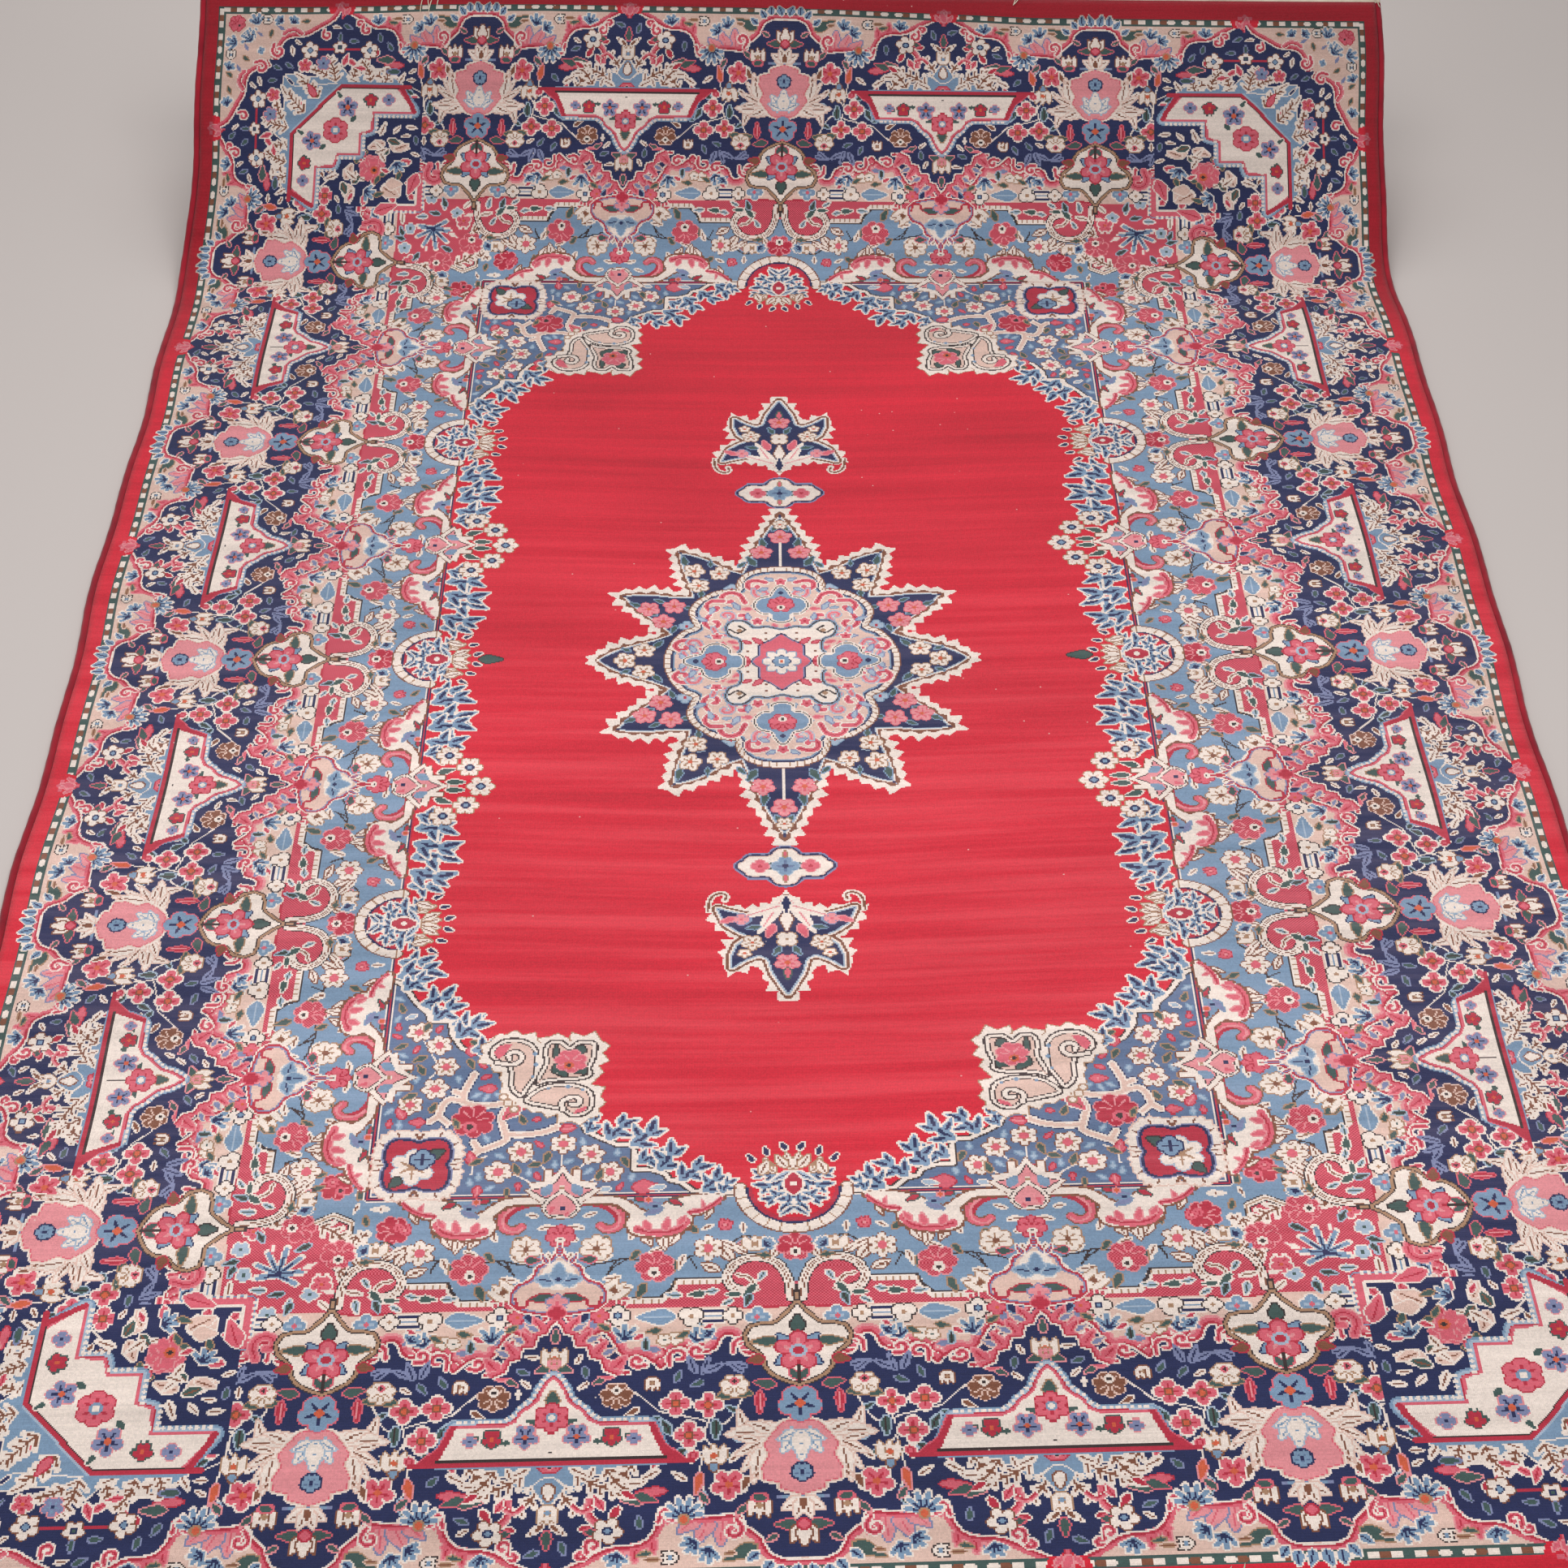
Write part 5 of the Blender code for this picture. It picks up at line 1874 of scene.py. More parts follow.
class Value:
    """A number or vector that varies over a surface: an output of a material's nodes."""

    def __init__(self, maker: "Maker", socket: bpy.types.NodeSocket) -> None:
        """Wrap a socket."""
        self.maker = maker
        self.socket = socket

    def _math(self, operation: str, *terms: "Term") -> "Value":
        """Add a Math node that works on some terms."""
        return self.maker.node("ShaderNodeMath", {"operation": operation}, dict(enumerate(terms)))

    def __add__(self, other: "Term") -> "Value":
        """Return the sum."""
        return self._math("ADD", self, other)

    __radd__ = __add__

    def __rsub__(self, other: "Term") -> "Value":
        """Return the difference from a number."""
        return self._math("SUBTRACT", other, self)

    def __mul__(self, other: "Term") -> "Value":
        """Return the product."""
        return self._math("MULTIPLY", self, other)

    __rmul__ = __mul__

    def __truediv__(self, other: "Term") -> "Value":
        """Return the quotient."""
        return self._math("DIVIDE", self, other)

    def __mod__(self, other: "Term") -> "Value":
        """Return the remainder."""
        return self._math("MODULO", self, other)

    def floor(self) -> "Value":
        """Return the whole part."""
        return self._math("FLOOR", self)

    def fraction(self) -> "Value":
        """Return the part after the point."""
        return self._math("FRACT", self)

    def is_near(self, number: float) -> "Value":
        """Return 1 where the value is within a half of a number, and 0 elsewhere."""
        return self._math("COMPARE", self, number, 0.5)

    def at_most(self, other: "Term") -> "Value":
        """Return the smaller of two."""
        return self._math("MINIMUM", self, other)

    def at_least(self, other: "Term") -> "Value":
        """Return the larger of two."""
        return self._math("MAXIMUM", self, other)

    def ramp(self, low: float, high: float) -> "Value":
        """Return 0 below one number, 1 above another, and a smooth step between."""
        inputs = {"Value": self, "From Min": low, "From Max": high}
        return self.maker.node("ShaderNodeMapRange", {"interpolation_type": "SMOOTHSTEP"}, inputs)

    def scaled(self, size: Tuple[float, float, float]) -> "Value":
        """Return the vector stretched along each axis."""
        return self.maker.node("ShaderNodeVectorMath", {"operation": "MULTIPLY"}, {0: self, 1: size})

    def moved(self, other: "Term") -> "Value":
        """Return the vector plus another."""
        return self.maker.node("ShaderNodeVectorMath", {"operation": "ADD"}, {0: self, 1: other})

    def parts(self) -> Tuple["Value", "Value"]:
        """Return the vector's x and y."""
        split = self.maker.raw("ShaderNodeSeparateXYZ", {}, {0: self})
        return Value(self.maker, split.outputs[0]), Value(self.maker, split.outputs[1])

    def times(self, tint: "Term") -> "Value":
        """Return the colour multiplied by a grey value or a colour."""
        return self.blend(tint, 1.0, "MULTIPLY")

    def blend(self, other: "Term", factor: "Term", kind: str = "MIX") -> "Value":
        """Return the colour mixed with another.

        Args:
            other: the other colour.
            factor: how much of it, from 0 to 1.
            kind: the Mix node's way of mixing.

        Returns:
            The mixed colour.
        """
        settings = {"data_type": "RGBA", "blend_type": kind}
        return self.maker.node("ShaderNodeMix", settings, {0: factor, 6: self, 7: other}, output=2)


Term = Union[float, Value, Tuple[float, ...]]


class Maker:
    """Makes one material with a Principled shader and the nodes that feed it."""

    def __init__(self, name: str, roughness: float, sheen: float) -> None:
        """Start a material.

        Args:
            name: the material's name.
            roughness: of the yarn.
            sheen: how strongly its fibres catch light at a slant.
        """
        self.material = bpy.data.materials.new(name)
        self.material.use_nodes = True
        self.tree = self.material.node_tree
        self.shader = self.tree.nodes["Principled BSDF"]
        constants = {"Roughness": roughness, "Sheen Weight": sheen, "Sheen Roughness": 0.5,
                     "Specular IOR Level": 0.14}
        for socket, value in constants.items():
            self.shader.inputs[socket].default_value = value

    def raw(self, kind: str, settings: Dict[str, object], inputs: Dict[object, Term]) -> bpy.types.Node:
        """Add a node.

        Args:
            kind: the node's type.
            settings: its properties, and for a colour ramp its stops.
            inputs: what each socket gets, a value or a link.

        Returns:
            The node.
        """
        node = self.tree.nodes.new(kind)
        for name, setting in settings.items():
            if name == "stops":
                self._set_stops(node.color_ramp.elements, setting)
            elif name == "steps":
                node.color_ramp.interpolation = setting
            else:
                setattr(node, name, setting)
        for name, term in inputs.items():
            if isinstance(term, Value):
                self.tree.links.new(term.socket, node.inputs[name])
            else:
                node.inputs[name].default_value = term
        return node

    @staticmethod
    def _set_stops(elements: bpy.types.ColorRampElements, stops: Sequence[Tuple[float, Tuple]]) -> None:
        """Give a colour ramp its stops.

        Args:
            elements: the ramp's own stops.
            stops: each stop's place and colour.
        """
        while len(elements) < len(stops):
            elements.new(1.0)
        for element, (place, colour) in zip(elements, stops):
            element.position = place
            element.color = colour

    def node(
        self, kind: str, settings: Dict[str, object], inputs: Dict[object, Term],
        output: Union[int, str] = 0
    ) -> Value:
        """Add a node and return one of its outputs."""
        return Value(self, self.raw(kind, settings, inputs).outputs[output])

    def attribute(self, name: str) -> Value:
        """Return a number that the mesh holds."""
        return self.node("ShaderNodeAttribute", {"attribute_name": name}, {}, output="Fac")

    def places(self, name: str) -> Value:
        """Return the coordinates of one of the mesh's UV maps."""
        return self.node("ShaderNodeUVMap", {"uv_map": name}, {})

    def noise(self, places: Value, scale: float, detail: float = 2.0, roughness: float = 0.5) -> Value:
        """Return soft noise, from 0 to 1.

        Args:
            places: where it is read.
            scale: how many lumps to a unit.
            detail: how many finer layers it has.
            roughness: how strong they are.

        Returns:
            The noise.
        """
        inputs = {"Vector": places, "Scale": scale, "Detail": detail, "Roughness": roughness}
        return self.node("ShaderNodeTexNoise", {}, inputs)

    def chance(self, places: Value) -> Value:
        """Return a random number for each whole place."""
        whole_place = self.node("ShaderNodeVectorMath", {"operation": "FLOOR"}, {0: places})
        return self.node("ShaderNodeTexWhiteNoise", {"noise_dimensions": "3D"}, {"Vector": whole_place})

    def colours(self, factor: Value, stops: Sequence[Tuple[float, Tuple]], steps: str = "LINEAR") -> Value:
        """Return the colour that a ramp gives for a number."""
        return self.node("ShaderNodeValToRGB", {"stops": stops, "steps": steps}, {0: factor})

    def relief(self, height: Value, distance: float) -> Value:
        """Return normals that follow a height of 0 to 1 times a distance in metres."""
        return self.node("ShaderNodeBump", {}, {"Height": height, "Distance": distance, "Strength": 1.0})

    def finish(self, **feeds: Value) -> bpy.types.Material:
        """Link what varies to the shader and return the material.

        Args:
            feeds: a value for each of the shader's sockets, _ for a blank in its name.

        Returns:
            The material.
        """
        for name, value in feeds.items():
            self.tree.links.new(value.socket, self.shader.inputs[name.replace("_", " ")])
        return self.material


@dataclass(frozen=True)
class Lie:
    """How the flat cloth lies: out of square, flat on the floor, then a bend and a slope.

    Attributes:
        left, right: half the width of the cloth on each side.
        drawn: half the width of the drawn design.
        true_part: how far from the middle the design isn't squeezed to fit.
        drift, rake: how far the cloth shears across and along it.
        waves: size, length and phase of the waves in its side edges.
        taper_places, left_taper, right_taper: how it narrows towards the lifted end.
        bow_places, bow_reach, bow_span, bow_depth: how the last bands bow at the lifted end.
        middle_drop, pull, pull_growth: how far the middle lies out of its place.
        medallion_drop, tip_drop and what follows them: how far the medallion lies out of its own.
        shift: from the design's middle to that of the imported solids.
    """

    left: float = 1.038
    right: float = 1.007
    drawn: float = 1.04
    true_part: float = 0.8
    half_length: float = 1.531
    drift: float = 0.026
    rake: float = 0.015
    waves: Tuple[Tuple[float, float, float], ...] = ((0.0030, 0.66, 0.4), (0.0018, 0.29, 1.9))
    bend_start: float = 0.924
    bend_skew: float = 0.030
    bend_radius: float = 0.268
    slope: float = math.radians(35.0)
    taper_places: Tuple[float, ...] = (0.1, 0.5, 0.9, 1.2)
    left_taper: Tuple[float, ...] = (0.0, 0.0, 0.006, 0.009)
    right_taper: Tuple[float, ...] = (0.005, 0.0, 0.005, 0.007)
    bow_places: Tuple[float, ...] = (-0.99, -0.85, -0.72, -0.62, -0.42, -0.06, 0.09, 0.21, 0.34, 0.42, 1.0)
    bow_reach: Tuple[float, ...] = (0.016, 0.014, 0.009, 0.003, -0.001, 0.0, 0.002, 0.007, 0.012, 0.016,
                                    0.018)
    pull: float = -0.043
    pull_growth: float = 0.0047
    bow_span: Tuple[float, float] = (1.36, 1.492)
    bow_depth: float = 0.014
    middle_drop: float = 0.004
    medallion_drop: float = 0.0115
    tip_drop: float = 0.0095
    tip_place: float = 0.4
    tip_span: float = 0.2
    drop_width: float = 0.34
    drop_length: float = 0.85
    drop_fade: float = 0.05
    shift: Tuple[float, float, float] = (0.0, 0.0, 0.0)

    def wander(self, along: np.ndarray, side: float) -> np.ndarray:
        """Find how far a side strays from its line.

        Args:
            along: metres from the middle towards the lifted end.
            side: -1 for the left side and 1 for the right.

        Returns:
            How far it strays outward.
        """
        return sum(
            size * np.sin(2.0 * math.pi * along / length + side * phase)
            for size, length, phase in self.waves
        )

    def reach(self, along: np.ndarray, side: float) -> np.ndarray:
        """Find half the width of the cloth, which is least at the lifted end.

        Args:
            along: metres from the middle towards the lifted end.
            side: -1 for the left side and 1 for the right.

        Returns:
            How far the cloth reaches towards that side.
        """
        if side < 0:
            return self.left - np.interp(along, self.taper_places, self.left_taper)
        return self.right - np.interp(along, self.taper_places, self.right_taper)

    def edge(self, along: np.ndarray, side: float) -> np.ndarray:
        """Return where a side lies across the cloth."""
        return side * (self.reach(along, side) + self.wander(along, side))

    def laid(self, across: np.ndarray, along: np.ndarray, height: np.ndarray) -> np.ndarray:
        """Place points of the flat cloth on the floor, the bend or the slope.

        Args:
            across: metres right of the middle line.
            along: metres from the middle towards the lifted end.
            height: metres above the cloth's underside.

        Returns:
            The points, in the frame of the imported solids.
        """
        across, along, height = np.broadcast_arrays(across, along, height)
        side = across + self.drift * along
        ahead = along + self.rake * across
        start = self.bend_start + self.bend_skew * side
        beyond = np.maximum(ahead - start, 0.0)
        arc = np.minimum(beyond, self.bend_radius * self.slope)
        angle = arc / self.bend_radius
        straight = beyond - arc
        y = np.minimum(ahead, start) + self.bend_radius * np.sin(angle) + straight * math.cos(self.slope)
        z = self.bend_radius * (1.0 - np.cos(angle)) + straight * math.sin(self.slope)
        points = np.stack([side, y - height * np.sin(angle), z + height * np.cos(angle)], -1)
        return points + self.shift

    def woven(self, u: np.ndarray, v: np.ndarray) -> Tuple[np.ndarray, np.ndarray]:
        """Turn a place in the drawn design into one on the cloth, which isn't woven quite true.

        Args:
            u: metres right of the design's middle.
            v: metres from its middle towards the near end.

        Returns:
            The places across and along the cloth.
        """
        share = np.abs(u) / self.drawn
        fade, out = 1.0 - share**2, share**4
        at_tips = np.exp(-(((np.abs(v) - self.tip_place) / self.tip_span) ** 2))
        drop = (self.medallion_drop + self.tip_drop * at_tips) * np.exp(-((u / self.drop_width) ** 2))
        drop = drop / (1.0 + np.exp((np.abs(v) - self.drop_length) / self.drop_fade))
        bow = self.bow_depth - np.interp(u, self.bow_places, self.bow_reach)
        along = -v - self.middle_drop * fade - drop
        along = along + np.interp(-v, (*self.bow_span, self.half_length), (0.0, 1.0, 0.0)) * bow
        sway = np.where(u < 0.0, -self.wander(along, -1.0), self.wander(along, 1.0))
        reach = np.where(u < 0.0, self.reach(along, -1.0), self.reach(along, 1.0))
        squeeze = (reach - self.true_part) / (self.drawn - self.true_part)
        beyond = np.maximum(np.abs(u) - self.true_part, 0.0)
        pulled = (self.pull + self.pull_growth * (v**2 - 1.0)) * fade
        return u - np.sign(u) * beyond * (1.0 - squeeze) + pulled + sway * out, along

    def seated(self, low: Vector, high: Vector) -> "Lie":
        """Move the cloth to the middle of its solid's box.

        Args:
            low: the box's lowest corner.
            high: its highest corner.

        Returns:
            The same lie, moved.
        """
        along = np.linspace(-self.half_length, self.half_length, 400)
        own = np.concatenate([self.laid(self.edge(along, side), along, 0.0) for side in BOTH])
        ends = (own.min(0), own.max(0))
        shift = [(low[axis] + high[axis] - ends[0][axis] - ends[1][axis]) / 2.0 for axis in (0, 1)]
        return replace(self, shift=(*shift, 0.0))


def make_mesh(name: str, points: np.ndarray, faces: Sequence[Sequence[int]],
              smooth: bool = True) -> bpy.types.Object:
    """Make an object from points and faces.

    Args:
        name: of the piece.
        points: one row for each vertex.
        faces: the vertices of each face.
        smooth: whether it is shaded smooth.

    Returns:
        The object, in the scene.
    """
    mesh = bpy.data.meshes.new(name)
    mesh.from_pydata(np.asarray(points).tolist(), [], [list(face) for face in faces])
    mesh.polygons.foreach_set("use_smooth", [smooth] * len(mesh.polygons))
    mesh.update()
    piece = bpy.data.objects.new(name, mesh)
    bpy.context.scene.collection.objects.link(piece)
    return piece


@dataclass
class Slab:
    """A thin closed layer of the cloth whose faces each hold a block of knots."""

    name: str
    lie: Lie
    low: float
    high: float
    columns: int
    rows: int
    shown_above: bool
    block: int = BLOCK

    def grid(self) -> Tuple[np.ndarray, np.ndarray]:
        """Spread a grid over the design.

        Returns:
            The places of its points across and along the design.
        """
        u = np.linspace(-self.lie.drawn, self.lie.drawn, self.columns + 1)
        v = np.linspace(-self.lie.half_length, self.lie.half_length, self.rows + 1)
        return np.meshgrid(u, v)

    def pack(self, chart: Chart) -> np.ndarray:
        """Pack the yarns of each face's knots into whole numbers, one for each row of knots.

        Args:
            chart: the quarter of the design.

        Returns:
            An array of (block, faces) numbers.
        """
        u, v = (
            ((np.arange(faces * self.block) + 0.5) / (faces * self.block) * 2.0 - 1.0) * half
            for faces, half in ((self.columns, self.lie.drawn), (self.rows, self.lie.half_length))
        )
        yarns = chart.spread(u * MILLIMETRES, v * MILLIMETRES)
        cells = yarns.reshape(self.rows, self.block, self.columns, self.block).astype(np.int64)
        return (cells << (4 * np.arange(self.block))).sum(-1).transpose(1, 0, 2).reshape(self.block, -1)

    def build(self, chart: Chart) -> bpy.types.Object:
        """Build the layer.

        Args:
            chart: the quarter of the design.

        Returns:
            The piece, with its knots and its maps.
        """
        u, v = self.grid()
        across, along = self.lie.woven(u, v)
        shown, hidden = (self.high, self.low) if self.shown_above else (self.low, self.high)
        front = self.lie.laid(across, along, shown).reshape(-1, 3)
        rim = self._rim()
        back = self.lie.laid(across, along, hidden).reshape(-1, 3)[rim]
        points = np.concatenate([front, back])
        number = np.arange(len(front)).reshape(u.shape)
        quads = np.stack([number[1:, :-1], number[1:, 1:], number[:-1, 1:], number[:-1, :-1]], -1)
        faces = [list(quad) for quad in quads.reshape(-1, 4)]
        faces += self._walls(rim, len(front))
        if not self.shown_above:
            faces = [face[::-1] for face in faces]
        piece = make_mesh(self.name, points, faces)
        self._store(piece.data, chart, u, v)
        return piece

    def _rim(self) -> np.ndarray:
        """Return the grid's outermost points, once round."""
        number = np.arange((self.rows + 1) * (self.columns + 1)).reshape(self.rows + 1, -1)
        return np.concatenate([number[0, :-1], number[:-1, -1], number[-1, :0:-1], number[:0:-1, 0]])

    def _walls(self, rim: np.ndarray, first: int) -> List[List[int]]:
        """Make the faces of the edge and of the hidden side, which is made of whole rows.

        Args:
            rim: the shown side's outermost points.
            first: the number of the hidden side's first point.

        Returns:
            The vertices of each face.
        """
        count = len(rim)
        twin = first + np.arange(count)
        faces = [[rim[i], rim[(i + 1) % count], twin[(i + 1) % count], twin[i]] for i in range(count)]
        across, long = self.columns, self.rows
        right = twin[across : across + long + 1]
        left = np.concatenate([twin[:1], twin[: 2 * across + long - 1 : -1]])
        near = np.concatenate([twin[: across + 1], [right[1], left[1]]])
        far = np.concatenate([twin[across + long : 2 * across + long + 1], [left[-2], right[-2]]])
        rows = [[left[i], right[i], right[i + 1], left[i + 1]] for i in range(1, long - 1)]
        return faces + [list(near), list(far)] + rows

    def _store(self, mesh: bpy.types.Mesh, chart: Chart, u: np.ndarray, v: np.ndarray) -> None:
        """Store the knots on the faces, and the maps that the shader reads.

        Args:
            mesh: the layer's mesh.
            chart: the quarter of the design.
            u: the design's places across, of the grid's points.
            v: their places along it.
        """
        packed = self.pack(chart)
        faces, shown = len(mesh.polygons), packed.shape[1]
        for row, numbers in enumerate(packed):
            values = np.zeros(faces, np.float32)
            values[:shown] = numbers
            mesh.attributes.new(f"knots_{row}", "FLOAT", "FACE").data.foreach_set("value", values)
        corners = np.zeros((len(mesh.loops), 2), np.float32)
        loops = np.zeros(len(mesh.loops), np.int64)
        mesh.loops.foreach_get("vertex_index", loops)
        square = np.array([(0, 1), (1, 1), (1, 0), (0, 0)], np.float32) * self.block
        corners[: 4 * shown] = np.tile(square if self.shown_above else square[::-1], (shown, 1))
        places = np.stack([u, v], -1).reshape(-1, 2)
        rim = self._rim()
        places = np.concatenate([places, places[rim]])[loops]
        low = np.array([-self.lie.drawn, -self.lie.half_length])
        baked = 0.01 + 0.98 * (places - low) / (-2.0 * low)
        for name, values in (("block", corners), ("sheet", places), ("OFBake", baked)):
            mesh.uv_layers.new(name=name).data.foreach_set("uv", values.astype(np.float32).ravel())


# What each dyed wool looks like, as 8-bit screen colours.
YARN_COLOURS: Dict[Yarn, Tuple[int, int, int]] = {
    RED: (218, 38, 58),
    NAVY: (42, 48, 88),
    SKY: (128, 154, 182),
    DENIM: (98, 118, 152),
    PALE: (170, 186, 204),
    IVORY: (244, 227, 216),
    BEIGE: (230, 194, 180),
    ROSE: (222, 102, 118),
    PINK: (232, 146, 152),
    CRIMSON: (188, 50, 70),
    GREEN: (70, 92, 88),
    BROWN: (134, 84, 64),
    TAN: (176, 136, 108),
    LAVENDER: (132, 138, 174),
    ORANGE: (214, 98, 68),
    DARK: (62, 50, 50),
}


@dataclass(frozen=True)
class KnottedWool:
    """The finish of the knotted pile, or of the flat back that repeats it, with light and shade painted in
    by place.
    """

    name: str
    block: int = BLOCK
    knot: float = 0.002
    corner: Tuple[float, float] = (1.04, 1.531)
    relief: float = 0.0006
    relief_shares: Tuple[float, float, float] = (0.7, 0.5, 0.3)
    sheen: float = 0.12
    roughness: float = 0.7
    fade: float = 0.0
    streak_scale: Tuple[float, float, float] = (1.2, 30.0, 1.0)
    cloud_scale: Tuple[float, float, float] = (2.0, 3.2, 1.0)
    fuzz_scale: float = 900.0
    base: float = 0.22
    streak_share: float = 0.78
    cloud_share: float = 0.50
    knot_share: float = 0.16
    row_share: float = 0.06
    fuzz_share: float = 0.10
    # Painted light: lifted_span, lifted_light and light darken the lifted far end as painted shade;
    # near_span, near_fade and near_light brighten the near half as a painted highlight.
    lifted_span: Tuple[float, float] = (-1.7, -0.6)
    near_span: Tuple[float, float] = (-0.7, 0.4)
    near_fade: Tuple[float, float] = (0.9, 1.25)
    light: float = 0.67
    lifted_light: float = 0.27
    near_light: float = 0.09
    # A painted sheen highlight: a pale pink veil over the near half of the cloth.
    painted_sheen_tint: Tuple[int, int, int] = (232, 200, 202)
    painted_sheen_streaks: Tuple[float, float] = (0.40, 0.66)
    painted_sheen_depth: float = 0.055
    painted_sheen_least: float = 0.012
    # Painted shade on the red rim of the sides and the far end, on the lifted part only.
    rim_across: Tuple[float, float] = (1.010, 1.018)
    rim_along: Tuple[float, float] = (1.490, 1.500)
    rim_span: Tuple[float, float] = (0.70, 1.05)
    rim_shade_depth: float = 0.42
    flecks: Tuple[float, float] = (0.9998, 0.9999)
    fleck_depth: float = 0.6
    faded_tint: Tuple[float, float, float, float] = (0.55, 0.47, 0.40, 1.0)

    def yarn_of(self, maker: Maker) -> Value:
        """Work out the yarn that each knot is tied with.

        Args:
            maker: the material's maker.

        Returns:
            The yarn's code.
        """
        x, y = maker.places("block").parts()
        column, row = x.at_most(self.block - 0.001).floor(), y.at_most(self.block - 0.001).floor()
        numbers, scale = 0.0, 0.0
        for index in range(self.block):
            numbers = row.is_near(index) * maker.attribute(f"knots_{index}") + numbers
            scale = column.is_near(index) * 16.0**-index + scale
        return (numbers * scale).floor() % 16.0

    def dress(self) -> bpy.types.Material:
        """Make the material.

        Returns:
            The material.
        """
        maker = Maker(self.name, self.roughness, self.sheen)
        stops = [(max(0.0, (yarn - 0.5) / 15.0), linear(colour)) for yarn, colour in YARN_COLOURS.items()]
        tint = maker.colours(self.yarn_of(maker) / 15.0, stops, "CONSTANT")
        sheet = maker.places("sheet")
        streaks = maker.noise(sheet.scaled(self.streak_scale), 1.0, 5.0, 0.66)
        knots = sheet.moved((*self.corner, 0.0)).scaled((1.0 / self.knot, 1.0 / self.knot, 1.0))
        own = maker.chance(knots)
        fuzz = maker.noise(sheet, self.fuzz_scale, 2.0)
        shade = self.base + streaks * self.streak_share
        shade = shade + maker.noise(sheet.scaled(self.cloud_scale), 1.0, 3.0) * self.cloud_share
        shade = shade + own * self.knot_share + maker.chance(knots.scaled((0.0, 1.0, 0.0))) * self.row_share
        # Painted light and shade by place, on top of the wool's own uneven tone.
        tint = self.light_by_place(tint, sheet, shade + fuzz * self.fuzz_share, streaks)
        tint = tint.blend(linear(YARN_COLOURS[IVORY]), own.ramp(*self.flecks) * self.fleck_depth)
        if self.fade:
            tint = tint.blend(self.faded_tint, self.fade)
        mound_share, fuzz_share, knot_share = self.relief_shares
        height = self.mound(maker) * mound_share + fuzz * fuzz_share + own * knot_share
        return maker.finish(Base_Color=tint, Normal=maker.relief(height, self.relief))

    def light_by_place(self, tint: Value, sheet: Value, shade: Value, streaks: Value) -> Value:
        """Shade the wool, then paint light and shade by place: painted shade on the lifted far end, a
        painted sheen highlight over the near half, and painted shade on the red rim of the lifted end.

        Args:
            tint: the yarns' colours.
            sheet: places on the cloth.
            shade: how bright each spot is by itself.
            streaks: the brushed streaks, along which the painted sheen highlight is strongest.

        Returns:
            The colours.
        """
        side, along = sheet.parts()
        # Painted shade towards the lifted far end, and a painted highlight over the near half that fades
        # before the near end.
        lifted = along.ramp(*self.lifted_span)
        near = along.ramp(*self.near_span) * (1.0 - along.ramp(*self.near_fade))
        light = lifted * self.lifted_light + near * self.near_light + self.light
        # Painted sheen highlight: blend a pale pink veil over the near half, strongest on the brushed
        # streaks.
        painted_sheen = near * (streaks.ramp(*self.painted_sheen_streaks) * self.painted_sheen_depth + self.painted_sheen_least)
        tint = tint.times(shade * light).blend(linear(self.painted_sheen_tint), painted_sheen)
        # Painted shade: darken the red rim of the sides and the far end where the cloth is lifted.
        far = 0.0 - along
        rim = side.at_least(0.0 - side).ramp(*self.rim_across).at_least(far.ramp(*self.rim_along))
        return tint.times(1.0 - rim * far.ramp(*self.rim_span) * self.rim_shade_depth)

    @staticmethod
    def mound(maker: Maker) -> Value:
        """Return the height of each knot, from 0 at its rim to 1 at its middle."""
        across, along = (part.fraction() for part in maker.places("block").parts())
        return (across * (1.0 - across) * 4.0) * (along * (1.0 - along) * 4.0)


@dataclass(frozen=True)
class PlainWool:
    """The finish of the overcast cords, and of the cotton warps in another colour."""

    name: str
    colour: Tuple[int, int, int]
    dark: Tuple[int, int, int]
    sheen: float = 0.2
    grain: float = 2600.0
    relief: float = 0.0003

    def dress(self) -> bpy.types.Material:
        """Make the material.

        Returns:
            The material.
        """
        maker = Maker(self.name, 0.88, self.sheen)
        where = maker.node("ShaderNodeTexCoord", {}, {}, output="Object")
        fibres = maker.noise(where, self.grain, 3.0)
        clouds = maker.noise(where, 18.0, 3.0)
        mixed = (fibres * 0.5 + clouds * 0.5).ramp(0.3, 0.7)
        tint = maker.colours(mixed, [(0.0, linear(self.dark)), (1.0, linear(self.colour))])
        return maker.finish(Base_Color=tint, Normal=maker.relief(fibres, self.relief))


@dataclass
class Rug:
    """The knotted cloth: its pile above and the flat back of the knots below."""

    lie: Lie
    chart: Chart
    pile_heights: Tuple[float, float] = (0.0025, 0.009)
    back_heights: Tuple[float, float] = (0.0, 0.0024)
    pile_faces: Tuple[int, int] = (206, 309)
    back_faces: Tuple[int, int] = (103, 155)

    def build(self) -> List[bpy.types.Object]:
        """Build and dress both layers.

        Returns:
            The layers, the pile first.
        """
        pile = Slab("pile", self.lie, *self.pile_heights, *self.pile_faces, True).build(self.chart)
        back = Slab("knotted_back", self.lie, *self.back_heights, *self.back_faces, False).build(self.chart)
        pile.data.materials.append(KnottedWool("knotted_wool_pile").dress())
        flat_wool = KnottedWool("knotted_wool_back", knot=0.004, sheen=0.08, fade=0.16)
        back.data.materials.append(flat_wool.dress())
        for piece in (pile, back):
            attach(piece, "root")
            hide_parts("rug_cloth")
        return [pile, back]


